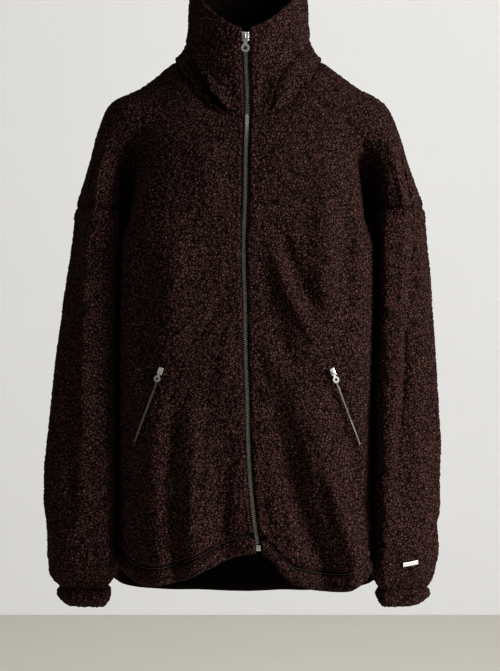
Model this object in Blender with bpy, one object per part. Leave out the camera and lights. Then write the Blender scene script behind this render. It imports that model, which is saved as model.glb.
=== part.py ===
"""Pile fleece jacket, worn shape: high funnel collar, drop shoulders, wide
sleeves blousing over elastic cuffs, full-length front zip, two slanted zip
pockets, curved hem turned up 25 mm and longer at the back.

Frame: metres, +Z up, the front faces -Y, the wearer's left is +X. The origin
is between the shoulders at the base of the neck.
"""
import math

import bmesh
import bpy
import numpy as np
from mathutils import Matrix, Vector
from mathutils.bvhtree import BVHTree

MM = 0.001

# ---------------------------------------------------------------- sizes (mm)
WALL = 4.0            # fleece wall: knitted base plus pressed pile
HEM_WALL = 6.5        # turned-up casing
HEM_DEPTH = 25.0
SEAM_GAP = 0.32       # between pieces at a seam
UNDERARM = 7.0        # radius of the fold between body and arm
CUFF_WALL = 5.0
TAPE_WIDE, TAPE_THICK, TAPE_INSIDE = 15.0, 1.0, 3.6
FRONT_EDGE = 7.0      # front panel's edge from the zip's centre line
CHAIN_WIDE, CHAIN_THICK = 6.0, 2.4
ZIP_TOP_Z, SLIDER_LONG = 47.0, 13.0
POCKET_CHAIN_WIDE, POCKET_CHAIN_THICK = 4.2, 2.0
PLATE = (24.0, 6.0, 1.4)

# ------------------------------------------- rings, neck (0) to hem (2), in mm
# r: place down the body. z_f, z_o, z_b: height at front, side and back.
# out_l, out_r: half width to the outside of the arm or shoulder, each side.
# d_f, d_b: depth at centre front and centre back. valley: how far the fold
# beside the arm is formed (0 none, 1 full). c_f, c_b: arm crest depths.
RINGS = [
    # r,    z_f,  z_o,  z_b, out_l, out_r, d_f, d_b, valley, c_f, c_b
    (0.00,  -70,   18,   22,   103,   110, 112,  82,  0.00,  60,  60),
    (0.22,  -82,  -19,  -14,   150,   160, 121, 112,  0.00,  74,  84),
    (0.45, -104,  -42,  -44,   194,   199, 129, 132,  0.06,  86,  94),
    (0.68, -133,  -80,  -86,   213,   219, 135, 143,  0.30,  92, 100),
    (0.85, -163, -130, -134,   226,   234, 139, 148,  0.70,  94, 102),
    (1.00, -204, -194, -204,   243,   254, 144, 150,  1.00,  92, 102),
]
# lower body. w_l, w_r: half width at the side seam.
TUBE = [
    # r,   w_l, w_r, d_f, d_b
    (1.0,  176, 182, 144, 150),
    (1.1,  178.5, 184, 147, 150),
    (1.3,  181, 184, 150, 150),
    (1.6,  183, 181, 151, 152),
    (1.85, 184, 180.5, 152, 156),
    (2.0,  184, 180, 153, 158),
]
# hem height by share of the way from centre front (0) to side (1) to back (2)
HEM = [
    # s,   left, right
    (0.00, -681, -683),
    (0.04, -685, -714),
    (0.12, -701, -729),
    (0.28, -722, -735),
    (0.45, -727, -727),
    (0.65, -712, -711),
    (0.82, -701, -703),
    (1.00, -697, -702),
    (1.25, -728, -730),
    (1.60, -757, -757),
    (2.00, -765, -765),
]
# centre front line: z, x, and how far it stands out
FRONT_LINE = [
    (60, -1), (8, 0), (-45, 2), (-125, 0), (-189, -1), (-252, -3), (-340, -1),
    (-412, 0), (-467, 2), (-523, 3), (-578, 6), (-620, 10), (-654, 14), (-690, 21),
]
# sleeves, armhole (0) to cuff (1). x_in, x_out: inside and outside of each
# sleeve; y_c, depth: middle and half depth; turn: how square the ring is.
SLEEVE_LEFT_SIDE = [   # the wearer's right sleeve, at -X
    # z,   x_in, x_out, y_c, depth
    (-225, 180, 246,   2, 92),
    (-283, 182, 255,  -2, 88),
    (-356, 183, 266,  -8, 84),
    (-419, 183, 274, -14, 82),
    (-472, 183, 279, -19, 82),
    (-530, 183, 285, -24, 82),
    (-588, 183, 289, -29, 83),
    (-646, 184, 287, -33, 82),
    (-689, 185, 283, -36, 76),
    (-718, 187, 281, -38, 66),
    (-736, 194, 270, -39, 54),
]
SLEEVE_RIGHT_SIDE = [  # the wearer's left sleeve, at +X
    (-225, 186, 258,   2, 92),
    (-283, 187, 264,  -2, 88),
    (-356, 185, 270,  -8, 84),
    (-414, 183, 273, -14, 82),
    (-472, 182, 276, -19, 82),
    (-530, 182, 277, -24, 82),
    (-588, 181, 277, -29, 83),
    (-646, 180, 277, -33, 82),
    (-689, 180, 275, -36, 76),
    (-722, 181, 268, -38, 66),
    (-738, 187, 263, -39, 54),
]
CUFFS = [
    # side, x_in, x_out, y_c, depth, z_top, z_low
    (-1, 194, 270, -39, 50, -735, -764),
    (+1, 186, 262, -39, 50, -737, -763),
]
# collar, neckline (0) to top edge (1). half width, front and back reach, and
# the top edge's height at front, side and back
COLLAR = [
    # t,   half_l, half_r, front, back
    (0.00, 103, 110, 112, 82),
    (0.12,  94, 101, 112, 83),
    (0.27,  87,  94, 112, 84),
    (0.50,  85,  92, 112, 86),
    (0.75,  83,  90, 112, 87),
    (1.00,  82,  87, 111, 86),
]
COLLAR_TOP_Z = (56, 122, 138)
# the slumped collar's fold line: way round from the front (0) to the back (1),
# and its height as a share of the collar, each side
COLLAR_LINE = [
    (0.00, -0.08, -0.10), (0.04, -0.01, -0.02), (0.08, 0.06, 0.08),
    (0.12, 0.11, 0.24), (0.18, 0.15, 0.35), (0.24, 0.21, 0.34),
    (0.36, 0.25, 0.32), (0.50, 0.27, 0.34), (0.75, 0.30, 0.35), (1.00, 0.31, 0.33),
]
ROLL_DEPTH, ROLL_OUT, ROLL_STEP = 10.0, 6.0, 0.060
# largest folds of the fronts and back: x, z of start, middle and end, half
# width, height out (+) or in (-)
FRONT_FOLDS = [
    # x0,   z0,  x1,   z1,  x2,   z2, wide, out
    (26, -225,  56, -312, 106, -405, 15, 10),
    (50, -235,  78, -305, 112, -370, 13, -10),
    (14, -270,  38, -345,  66, -430, 15, -7),
    (112, -150, 113, -260, 113, -370, 19, 8),
    (142, -160, 143, -280, 143, -400, 12, -6),
    (52, -415,  92, -510, 142, -690, 20, 16),
    (28, -450,  54, -580,  88, -700, 19, -15),
    (120, -440, 142, -530, 160, -640, 15, -8),
    (-72, -470, -84, -570, -92, -700, 22, 10),
    (-22, -430, -34, -540, -40, -680, 17, -9),
    (-100, -470, -106, -570, -112, -690, 12, -8),
    (-124, -440, -130, -560, -134, -690, 17, 9),
    (-60, -100, -52, -150, -40, -210, 26, 5),
    (-146, -260, -146, -360, -140, -460, 14, -7),
    (-96, -210, -100, -310, -96, -420, 22, 5),
]
BACK_FOLDS = [
    (20, -200, 34, -400, 52, -740, 26, 9),
    (-48, -260, -62, -460, -74, -740, 28, 10),
    (98, -230, 110, -420, 126, -720, 24, 8),
    (-120, -300, -128, -480, -136, -710, 22, 7),
    (-12, -380, -10, -560, -8, -750, 20, -8),
    (76, -340, 84, -540, 92, -730, 20, -7),
]
POCKETS = [
    # side, x_top, z_top, x_low, z_low
    (-1, -114, -416, -156, -528),
    (+1, 116, -417, 160, -532),
]
PLATE_AT = (231.0, -698.0, 8.0)   # x, z, tilt in degrees

# material colours from the photo, linear: base colour, roughness, metallic
MATERIALS = {
    "pile_brown": ((0.020, 0.0085, 0.0065), 0.95, 0.0),
    "tape_brown": ((0.010, 0.005, 0.004), 0.85, 0.0),
    "zip_metal": ((0.55, 0.53, 0.50), 0.32, 1.0),
    "plate_metal": ((0.62, 0.61, 0.60), 0.28, 1.0),
}


# ------------------------------------------------------------------- curves
def curve(table, col, at):
    """Smooth curve through a table's column against its first column."""
    t = np.asarray([row[0] for row in table], float)
    v = np.asarray([row[col] for row in table], float)
    if t[0] > t[-1]:
        t, v = t[::-1], v[::-1]
    slope = np.gradient(v, t)
    x = np.clip(np.asarray(at, float), t[0], t[-1])
    i = np.clip(np.searchsorted(t, x, side="right") - 1, 0, len(t) - 2)
    h = t[i + 1] - t[i]
    u = (x - t[i]) / h
    return (
        v[i] * (1 + 2 * u) * (1 - u) ** 2
        + slope[i] * h * u * (1 - u) ** 2
        + v[i + 1] * u * u * (3 - 2 * u)
        + slope[i + 1] * h * u * u * (u - 1)
    )


def ease(x):
    x = np.clip(x, 0, 1)
    return x * x * (3 - 2 * x)


def front_x(z):
    return curve(FRONT_LINE, 1, z)


def fold_height(folds, x, z):
    """Soft ridges and troughs along bent lines in the panel's x and z."""
    total = np.zeros(np.broadcast(x, z).shape)
    for x0, z0, x1, z1, x2, z2, wide, out in folds:
        u = np.clip((z - z0) / (z2 - z0), 0, 1)
        mid = (z1 - z0) / (z2 - z0)
        xa = np.where(u < mid, x0 + (x1 - x0) * u / mid,
                      x1 + (x2 - x1) * (u - mid) / (1 - mid))
        along = np.sin(np.pi * np.clip((z - z0) / (z2 - z0), 0, 1)) ** 0.6
        fade = np.where((z - z0) / (z2 - z0) >= 1, 0.0, along)
        open_end = z2 < -650      # folds that run out at the hem stay open
        if open_end:
            fade = np.sin(np.pi / 2 * np.clip((z - z0) / (z2 - z0), 0, 1)) ** 0.8
        total = total + out * np.exp(-(((x - xa) / wide) ** 2)) * fade
    return total


# ------------------------------------------------------- body: one half ring
# s along a half ring: 0 centre front or back, 1 bottom of the fold beside the
# arm (side seam lower down), 2 the arm's crest, 3 shoulder seam.
def oval(s, half, deep):
    turn = np.interp(s, [0, 1, 2, 3], [0, 0.50, 0.68, 1.0]) * math.pi / 2
    p = 0.86
    return half * np.sin(turn) ** p, deep * np.cos(turn) ** p


def lobed(s, half, wall, deep, crest, broad):
    """Body quarter, narrow round fold, then the arm's two quarters."""
    r = UNDERARM
    a = np.clip(s / 0.9, 0, 1) * math.pi / 2
    x_body = (wall - r) * np.sin(a) ** 0.62 + broad * np.sin(2 * a) ** 2
    y_body = r + (deep - r) * np.cos(a) ** 0.62
    b = np.clip((s - 0.9) / 0.1, 0, 1) * math.pi / 2
    x_turn = wall - r * np.cos(b)
    y_turn = r - r * np.sin(b)
    c = np.clip((s - 1.0) / 0.12, 0, 1) * math.pi / 2
    x_turn2 = wall + r * np.sin(c)
    y_turn2 = r - r * np.cos(c)
    mid = 0.5 * (wall + r + half)
    d = np.clip((s - 1.12) / 0.88, 0, 1) * math.pi / 2
    x_in = mid - (mid - wall - r) * np.cos(d) ** 0.68
    y_in = r + (crest - r) * np.sin(d) ** 0.68
    e = np.clip(s - 2.0, 0, 1) * math.pi / 2
    x_outer = mid + (half - mid) * np.sin(e) ** 0.85
    y_outer = crest * np.cos(e) ** 0.85
    x = np.where(s <= 0.9, x_body, np.where(s <= 1, x_turn, np.where(
        s <= 1.12, x_turn2, np.where(s <= 2, x_in, x_outer))))
    y = np.where(s <= 0.9, y_body, np.where(s <= 1, y_turn, np.where(
        s <= 1.12, y_turn2, np.where(s <= 2, y_in, y_outer))))
    return x, y


def body_base(side, face, s, r):
    """Point before folds. side -1 or +1 in X, face -1 front or +1 back."""
    s, r = np.broadcast_arrays(np.asarray(s, float), np.asarray(r, float))
    up = np.minimum(r, 1.0)
    half = curve(RINGS, 4 if side < 0 else 5, up)
    deep = curve(RINGS, 6 if face < 0 else 7, up)
    crest = curve(RINGS, 9 if face < 0 else 10, up)
    form = np.clip(curve(RINGS, 8, up), 0, 1)
    wall = 171.0 if side < 0 else 175.0
    xo, yo = oval(s, half, deep)
    # the back is boxier: it passes behind the inside of the arms
    broad = 13.0 + (0.0 if face < 0 else 43.0) * ease((up - 0.80) / 0.20)
    xl, yl = lobed(s, half, wall, deep, crest, broad)
    z_c = curve(RINGS, 1 if face < 0 else 3, up)
    z_s = curve(RINGS, 2, up)
    lift = np.sin(np.clip(s / 3, 0, 1) * math.pi / 2) ** 2
    if face < 0:                                # neckline rises early at the sides
        lift = lift + 0.27 * np.exp(-(((s - 1.1) / 0.42) ** 2)) * (1 - ease(r / 0.45))
    x = xo + (xl - xo) * form
    y = yo + (yl - yo) * form
    z = z_c + (z_s - z_c) * lift
    # below the underarm the body is a plain tube
    low = np.clip(r - 1, 0, 1)
    wall_l = curve(TUBE, 1 if side < 0 else 2, 1 + low)
    deep_l = curve(TUBE, 3 if face < 0 else 4, 1 + low)
    a = np.clip(s, 0, 1) * math.pi / 2
    broad = 13.0 if face < 0 else 50.0 - 4.0 * low
    xt = wall_l * np.sin(a) ** (0.60 if face < 0 else 0.72) + broad * np.sin(2 * a) ** 2
    yt = deep_l * np.cos(a) ** 0.62
    near = ease(low / 0.09)
    hem = curve(HEM, 1 if side < 0 else 2, s if face < 0 else 2 - s)
    z_u = z_c + (z_s - z_c) * lift
    x = np.where(r > 1, x + (xt - 1.5 - x) * near, x)
    y = np.where(r > 1, y + (yt - y) * near, y)
    z = np.where(r > 1, z_u + (hem - z_u) * low, z)
    return x, y, z


def body(side, face, s, r):
    """The outside of the cloth, folds and the hem's casing included."""
    x, y, z = body_base(side, face, s, r)
    folds = FRONT_FOLDS if face < 0 else BACK_FOLDS
    h = fold_height(folds, side * x, z)
    h = h * ease((1 - np.clip(s, 0, 1)) / 0.25) * ease(np.clip(s, 0, 1) / 0.10)
    y = y + h
    # the centre front line wanders with the zip
    lean = front_x(z) if face < 0 else 0.0
    pull = 1 - ease(np.clip(s, 0, 1) / 0.9)
    px = side * x + lean * pull
    return np.stack([px, face * y, z], -1)


def body_normal(side, face, s, r):
    e = 0.004
    lo_s, hi_s = np.maximum(s - e, 0), np.minimum(s + e, 3)
    lo_r, hi_r = np.maximum(r - e, 0), np.minimum(r + e, 2)
    ds = body(side, face, hi_s, r) - body(side, face, lo_s, r)
    dr = body(side, face, s, hi_r) - body(side, face, s, lo_r)
    n = np.cross(dr, ds) * side * -face
    size = np.linalg.norm(n, axis=-1, keepdims=True)
    return n / np.where(size < 1e-9, 1, size)


# ------------------------------------------------------------------- meshes
def new_object(name, verts_mm, faces, material, smooth=True):
    mesh = bpy.data.meshes.new(name)
    mesh.from_pydata([tuple(float(c) * MM for c in v) for v in verts_mm], [], faces)
    mesh.update()
    ob = bpy.data.objects.new(name, mesh)
    bpy.context.scene.collection.objects.link(ob)
    bm = bmesh.new()
    bm.from_mesh(mesh)
    bmesh.ops.remove_doubles(bm, verts=bm.verts, dist=1e-6)
    bmesh.ops.recalc_face_normals(bm, faces=bm.faces)
    if bm.calc_volume(signed=True) < 0:
        bmesh.ops.reverse_faces(bm, faces=bm.faces)
    bm.to_mesh(mesh)
    bm.free()
    if smooth:
        mesh.shade_smooth()
        mesh.set_sharp_from_angle(angle=math.radians(50))
    mesh.materials.append(material)
    return ob


def make_material(name):
    colour, rough, metal = MATERIALS[name]
    mat = bpy.data.materials.new(name)
    mat.use_nodes = True
    node = mat.node_tree.nodes["Principled BSDF"]
    node.inputs["Base Color"].default_value = (*colour, 1.0)
    node.inputs["Roughness"].default_value = rough
    node.inputs["Metallic"].default_value = metal
    mat.diffuse_color = (*colour, 1.0)
    return mat


class Sheet:
    """A cloth wall: quads over shared points, each with its inward offset."""

    def __init__(self):
        self.outer, self.inner, self.faces = [], [], []
        self.keys = {}

    def point(self, key, p, n, wall):
        if key not in self.keys:
            self.keys[key] = len(self.outer)
            self.outer.append(np.asarray(p, float))
            self.inner.append(np.asarray(p, float) - np.asarray(n, float) * wall)
        return self.keys[key]

    def quad(self, a, b, c, d):
        ring = []
        for k in (a, b, c, d):
            if k not in ring:
                ring.append(k)
        if len(ring) >= 3:
            self.faces.append(tuple(ring))

    def solid(self, name, material):
        n = len(self.outer)
        verts = self.outer + self.inner
        faces = list(self.faces)
        faces += [tuple(n + k for k in reversed(f)) for f in self.faces]
        count = {}
        for f in self.faces:
            for i, a in enumerate(f):
                b = f[(i + 1) % len(f)]
                count[(a, b)] = count.get((a, b), 0) + 1
        for (a, b) in count:
            if (b, a) not in count:
                faces.append((b, a, n + a, n + b))
        return new_object(name, verts, faces, material)


# columns across a quarter, and rows down it
BODY_S = [0, 0.04, 0.11, 0.21, 0.33, 0.45, 0.57, 0.69, 0.81, 0.91, 1.0]
CAP_S = [1.0, 1.06, 1.14, 1.5, 1.8, 2.05, 2.35, 2.68, 3.0]
UP_R = [0, 0.13, 0.27, 0.41, 0.55, 0.68, 0.80, 0.91, 1.0]
HEM_LINE = 1.955
LOW_R = [1.0, 1.05, 1.12, 1.22, 1.33, 1.44, 1.55, 1.66, 1.77, 1.87, 1.942, HEM_LINE,
         1.968, 2.0]
SLEEVE_DOWN = [0, 0.03, 0.08, 0.16, 0.25, 0.34, 0.43, 0.52, 0.61, 0.70, 0.78, 0.86,
               0.925, 0.965, 0.988, 1.0]
CUFF_DOWN = [0, 0.22, 0.6, 0.9, 1.0]
COLLAR_UP = [0, 0.07, 0.16, 0.26, 0.37, 0.50, 0.66, 0.83, 0.94, 1.0]


def add_half(sheet, side, face, centre_open):
    """One half panel: body columns to the hem, cap columns to the armhole.
    centre_open: the centre edge is free (a front at the zip)."""
    gap = 0.5 * SEAM_GAP
    tag = (side, face)

    cols = [("b", i, s) for i, s in enumerate(BODY_S)]
    cols += [("c", i, s) for i, s in enumerate(CAP_S) if i > 0]
    rows_up = [("u", j, r) for j, r in enumerate(UP_R)]
    rows_low = [("l", j, r) for j, r in enumerate(LOW_R) if j > 0]
    grid = {}
    for ci, (kind, i, s) in enumerate(cols):
        rows = rows_up + (rows_low if kind == "b" else [])
        for rj, (rk, j, r) in enumerate(rows):
            on_ring = body(side, face, np.array(s), np.array(r))
            p = np.array(on_ring)
            n = body_normal(side, face, np.array(s), np.array(r))
            wall = WALL
            if s >= 3.0:                               # shoulder seam
                n = shoulder_normal(side, r)
                p = p + np.array([0, face * gap, 0])
            if r <= 0:                                 # neckline
                n = neck_normal(side, face, s)
                p = p + down_from_neck(side, face, s) * gap
            if kind == "b" and s >= 1.0 and r >= 1.0:  # side seam
                n = np.array([side, 0, 0], float)
                p = p + np.array([0, face * gap, 0])
            if r >= 1.0 and kind == "c":               # armhole
                n = arm_normal(side, face, s)
                p = p + np.array([0, 0, gap])
            if s == 1.0 and r == 1.0:
                n = np.array([0, 0, -1.0])
                p = on_ring + np.array([0, face * gap, gap])
            if s <= 0:
                if centre_open:
                    p = p + np.array([side * FRONT_EDGE, 0, 0])
                    n = np.array([0, face, 0], float)
                elif abs(n[1]) > 0:
                    n = np.array([0, n[1], n[2]])
                    n = n / np.linalg.norm(n)
                    p = np.array([0.0, p[1], p[2]])
            if r >= HEM_LINE:
                wall = HEM_WALL
                if r == HEM_LINE:                      # stitched groove
                    wall = HEM_WALL - 1.4
                    p = p - n * 1.4
                elif HEM_LINE < r < 2:
                    p = p + n * 0.6
            key = (tag if not (s <= 0 and not centre_open) else ("m", face),
                   kind if i or kind == "b" else "b", ci, rk, j)
            if s <= 0 and not centre_open:
                key = ("m", face, rk, j)
            grid[(ci, rk, j)] = sheet.point(key, p, n, wall)

    def patch(c0, c1, row_a, row_b):
        a = grid.get((c0, *row_a)); b = grid.get((c1, *row_a))
        c = grid.get((c1, *row_b)); d = grid.get((c0, *row_b))
        if None in (a, b, c, d):
            return
        if side * face < 0:
            sheet.quad(a, b, c, d)
        else:
            sheet.quad(d, c, b, a)

    rows = [("u", j) for j in range(len(UP_R))]
    for ci in range(len(cols) - 1):
        for j in range(len(rows) - 1):
            patch(ci, ci + 1, rows[j], rows[j + 1])
    low = [("u", len(UP_R) - 1)] + [("l", j) for j in range(1, len(LOW_R))]
    for ci in range(len(BODY_S) - 1):
        for j in range(len(low) - 1):
            patch(ci, ci + 1, low[j], low[j + 1])


def shoulder_normal(side, r):
    """Square to the shoulder line, in the plane of the seam."""
    e = 0.02
    a = body(side, -1, np.array(3.0), np.array(max(r - e, 0)))
    b = body(side, -1, np.array(3.0), np.array(min(r + e, 1)))
    d = b - a
    n = np.array([-d[2], 0, d[0]]) * side
    n = n / np.linalg.norm(n)
    return n if n[2] > 0 or n[0] * side > 0 else -n


def neck_normal(side, face, s):
    p = body(side, face, np.array(float(s)), np.array(0.0))
    out = np.array([p[0], p[1], 0])
    out = out / max(np.linalg.norm(out), 1e-9)
    n = out * 0.8 + np.array([0, 0, 0.6])
    return n / np.linalg.norm(n)


def down_from_neck(side, face, s):
    p = body(side, face, np.array(float(s)), np.array(0.0))
    q = body(side, face, np.array(float(s)), np.array(0.05))
    d = q - p
    return d / np.linalg.norm(d)


def arm_normal(side, face, s):
    e = 0.01
    a = body(side, face, np.array(max(s - e, 1.0)), np.array(1.0))
    b = body(side, face, np.array(min(s + e, 3.0)), np.array(1.0))
    if s >= 3.0:
        return np.array([side, 0, 0], float)
    if s < 1.13:
        return np.array([-side, 0, 0], float)
    d = b - a
    n = np.array([-d[1], d[0], 0]) * side * -face
    n = n / np.linalg.norm(n)
    c = np.array([side * 212.0, 0, 0])
    if np.dot(n, a - c * [1, 1, 0]) < 0:
        n = -n
    return n



# ------------------------------------------------------------------ sleeves
SLEEVE_FOLDS = [
    # around at the start and the end, z_start, z_end, half width, out
    (0.62, 0.50, -380, -720, 0.20,  -3.0),
    (1.66, 1.60, -300, -690, 0.17,   4.0),
    (2.60, 2.60, -240, -600, 0.20,  -5.0),
    (3.05, 3.05, -260, -700, 0.22,   5.0),
]
# the step fold down each sleeve's front: z, and x on its own side
SLEEVE_STEP = [
    # z, left side, right side
    (-170, 228, 229), (-230, 226, 227), (-290, 226, 224), (-375, 228, 219),
    (-440, 230, 213), (-520, 232, 207), (-640, 234, 204),
]


def step_fold(side, x, z):
    """A fold that stands up slowly from the inside and drops to the outside."""
    u = x - curve(SLEEVE_STEP, 1 if side < 0 else 2, z)
    fade = np.sin(np.pi * np.clip((z + 150) / -500.0, 0, 1)) ** 0.45
    near = np.exp(-((u / 8.0) ** 2))
    inside = 8.0 * np.exp(-((u / 24.0) ** 2))
    outside = 8.0 * near - 7.0 * (1 - near) * np.exp(-((u / 27.0) ** 2))
    return fade * np.where(u < 0, inside, outside)


def sleeve(side, around, down):
    """around: 0 beside the body, 1 front, 2 outside, 3 back, 4 beside it again.
    down: 0 armhole seam to 1 cuff seam."""
    around, down = np.broadcast_arrays(np.asarray(around, float), np.asarray(down, float))
    front = around <= 2
    s = np.where(front, 1 + around, 5 - around)
    face = np.where(front, -1.0, 1.0)
    top_f, top_b = body(side, -1, s, 1.0), body(side, 1, s, 1.0)
    top = np.where(front[..., None], top_f, top_b)
    table = SLEEVE_LEFT_SIDE if side < 0 else SLEEVE_RIGHT_SIDE
    z_end = table[-1][0]
    z = top[..., 2] + (z_end - top[..., 2]) * down
    x_in, x_out = curve(table, 1, z), curve(table, 2, z)
    y_c, depth = curve(table, 3, z), curve(table, 4, z)
    mid, half = (x_in + x_out) / 2, (x_out - x_in) / 2
    p = 0.80
    q = np.where(front, 0.34, p)                 # pressed square beside the body
    d = np.clip(s - 1, 0, 1) * math.pi / 2
    e = np.clip(s - 2, 0, 1) * math.pi / 2
    x = np.where(s <= 2, mid - half * np.cos(d) ** q, mid + half * np.sin(e) ** p)
    y = np.where(s <= 2, np.sin(d) ** q, np.cos(e) ** p) * depth * face
    y = y * np.where(front, 1 + (0.05 if side < 0 else 0.22) * (mid - x) / half, 1.0) + y_c
    h = np.zeros(x.shape)
    for a0, a1, z0, z1, wide, out in SLEEVE_FOLDS:
        u = np.clip((z - z0) / (z1 - z0), 0, 1)
        line = a0 + (a1 - a0) * u
        h = h + out * np.exp(-(((around - line) / wide) ** 2)) * np.sin(np.pi * u) ** 0.6
    h = h + np.where(front, step_fold(side, x, z), 0.0) * ease((0.9 - np.abs(around - 1)) / 0.3)
    # the wide sleeve slumps in soft rings just above the cuff
    low = np.clip((down - 0.72) / 0.28, 0, 1)
    h = h + 3.5 * np.sin(low * 3.2 * math.pi + 1.1 * np.sin(around * math.pi / 2)) * low * (1 - low) * 2
    nx, ny = (x - mid) / half, (y - y_c) / depth
    size = np.maximum(np.hypot(nx, ny), 1e-6)
    x, y = x + h * nx / size, y + h * ny / size
    m = ease((top[..., 2] - z) / 45.0)
    tuck = ease((down - 0.975) / 0.025) * 3.0          # turned in at the cuff
    x = x - tuck * nx / size
    y = y - tuck * ny / size
    out = np.stack([side * x, y, z], -1)
    return top * (1 - m[..., None]) + out * m[..., None]


def surface_normal(fn, a, b, ea, eb, alo, ahi, blo, bhi, centre):
    a0, a1 = np.maximum(a - ea, alo), np.minimum(a + ea, ahi)
    b0, b1 = np.maximum(b - eb, blo), np.minimum(b + eb, bhi)
    n = np.cross(fn(a1, b) - fn(a0, b), fn(a, b1) - fn(a, b0))
    n = n / max(np.linalg.norm(n), 1e-9)
    return n if np.dot(n, fn(a, b) - centre) > 0 else -n


def add_sleeve(name, side, material):
    sheet = Sheet()
    cols = [s - 1 for s in CAP_S] + [5 - s for s in reversed(CAP_S[:-1])]
    grid = {}
    n_col = len(cols) - 1
    for i, a in enumerate(cols[:-1]):
        for j, q in enumerate(SLEEVE_DOWN):
            fn = lambda u, v: sleeve(side, np.mod(u, 4.0), v)
            p = sleeve(side, np.array(a), np.array(q))
            centre = sleeve(side, np.array([0.0, 1, 2, 3]), np.array(q)).mean(0)
            if q <= 0:
                s, face = (1 + a, -1) if a <= 2 else (5 - a, 1)
                n = arm_normal(side, face, s)
                p = p - np.array([0, 0, 0.5 * SEAM_GAP])
            elif q >= 1:
                n = p - centre
                n[2] = 0
                n = n / np.linalg.norm(n)
                p = p + np.array([0, 0, 0.5 * SEAM_GAP])
            else:
                n = surface_normal(fn, a, q, 0.03, 0.008, -1, 5, 0, 1, centre)
                if q < 0.1:
                    n[2] *= 0.3
                    n = n / np.linalg.norm(n)
            grid[(i, j)] = sheet.point((i, j), p, n, WALL)
    for i in range(n_col):
        k = (i + 1) % n_col
        for j in range(len(SLEEVE_DOWN) - 1):
            q = (grid[(i, j)], grid[(k, j)], grid[(k, j + 1)], grid[(i, j + 1)])
            sheet.quad(*(q if side > 0 else q[::-1]))
    return sheet.solid(name, material)


def add_cuff(name, side, material):
    _, x_in, x_out, y_c, depth, z_top, z_low = [c for c in CUFFS if c[0] == side][0]
    sheet = Sheet()
    cols = [s - 1 for s in CAP_S] + [5 - s for s in reversed(CAP_S[:-1])]
    n_col = len(cols) - 1
    grid = {}
    for i, a in enumerate(cols[:-1]):
        top = sleeve(side, np.array(a), np.array(1.0))
        ring = sleeve(side, np.array([0.0, 1, 2, 3]), np.array(1.0))
        centre = ring.mean(0)
        n = top - centre
        n[2] = 0
        n = n / np.linalg.norm(n)
        for j, q in enumerate(CUFF_DOWN):
            bulge = 5.0 * math.sin(math.pi * min(q * 1.05, 1.0)) ** 0.6 - 2.0 * q - 4.0 * q ** 3
            bulge -= 15.0 * q ** 3 * max(n[0] * side, 0.0)
            p = top + n * bulge
            p[2] = top[2] + (z_low - top[2]) * q
            if q <= 0:
                p[2] -= 0.5 * SEAM_GAP
            grid[(i, j)] = sheet.point((i, j), p, n, CUFF_WALL if q > 0 else WALL)
    for i in range(n_col):
        k = (i + 1) % n_col
        for j in range(len(CUFF_DOWN) - 1):
            q = (grid[(i, j)], grid[(k, j)], grid[(k, j + 1)], grid[(i, j + 1)])
            sheet.quad(*(q if side > 0 else q[::-1]))
    return sheet.solid(name, material)


# ------------------------------------------------------------------- collar
def collar(side, face, s, t):
    """s as on the body's neckline, t from the seam (0) to the top edge (1)."""
    s, t = np.broadcast_arrays(np.asarray(s, float), np.asarray(t, float))
    base = body(side, face, s, 0.0)
    half = curve(COLLAR, 1 if side < 0 else 2, t)
    deep = curve(COLLAR, 3 if face < 0 else 4, t)
    x, y = oval(s, half, deep)
    turn = np.interp(s, [0, 1, 2, 3], [0, 0.50, 0.68, 1.0]) * math.pi / 2
    z0, z1, z2 = COLLAR_TOP_Z
    if face < 0:
        top = z0 + (z1 - z0) * np.sin(turn) ** 1.6
        away = turn / math.pi                       # 0 front, 1/2 side, 1 back
    else:
        top = z2 + (z1 - z2) * np.sin(turn) ** 2
        away = 1 - turn / math.pi
    z = base[..., 2] + (top - base[..., 2]) * t
    # the wide collar slumps: it folds over itself along a line that rises
    # from the zip to the sides, and steps back below it
    line = curve(COLLAR_LINE, 1 if side < 0 else 2, away)
    strength = ease((away - 0.04) / 0.07) * (1 - 0.92 * ease((away - 0.26) / 0.16))
    strength = strength * (1.0 if side < 0 else 1.25)
    u = (t - line) / ROLL_STEP
    over = ease(u + 0.5)
    roll = over * np.exp(-((np.maximum(u, 0) / 3.2) ** 2))
    trough = (1 - over) * np.exp(-((np.minimum(u, 0) / 1.9) ** 2)) * ease(t / 0.14)
    h = strength * (ROLL_OUT * roll - ROLL_DEPTH * trough)
    nx, ny = x / half, y / deep
    size = np.maximum(np.hypot(nx, ny), 1e-6)
    x, y = x + h * nx / size, y + h * ny / size
    lean = front_x(z) * (1 - ease(s / 1.5)) if face < 0 else 0.0
    out = np.stack([side * x + lean, face * y, z], -1)
    m = ease(t / 0.12)[..., None]
    low = base.copy()
    low[..., 2] = z
    return low * (1 - m) + out * m


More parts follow.
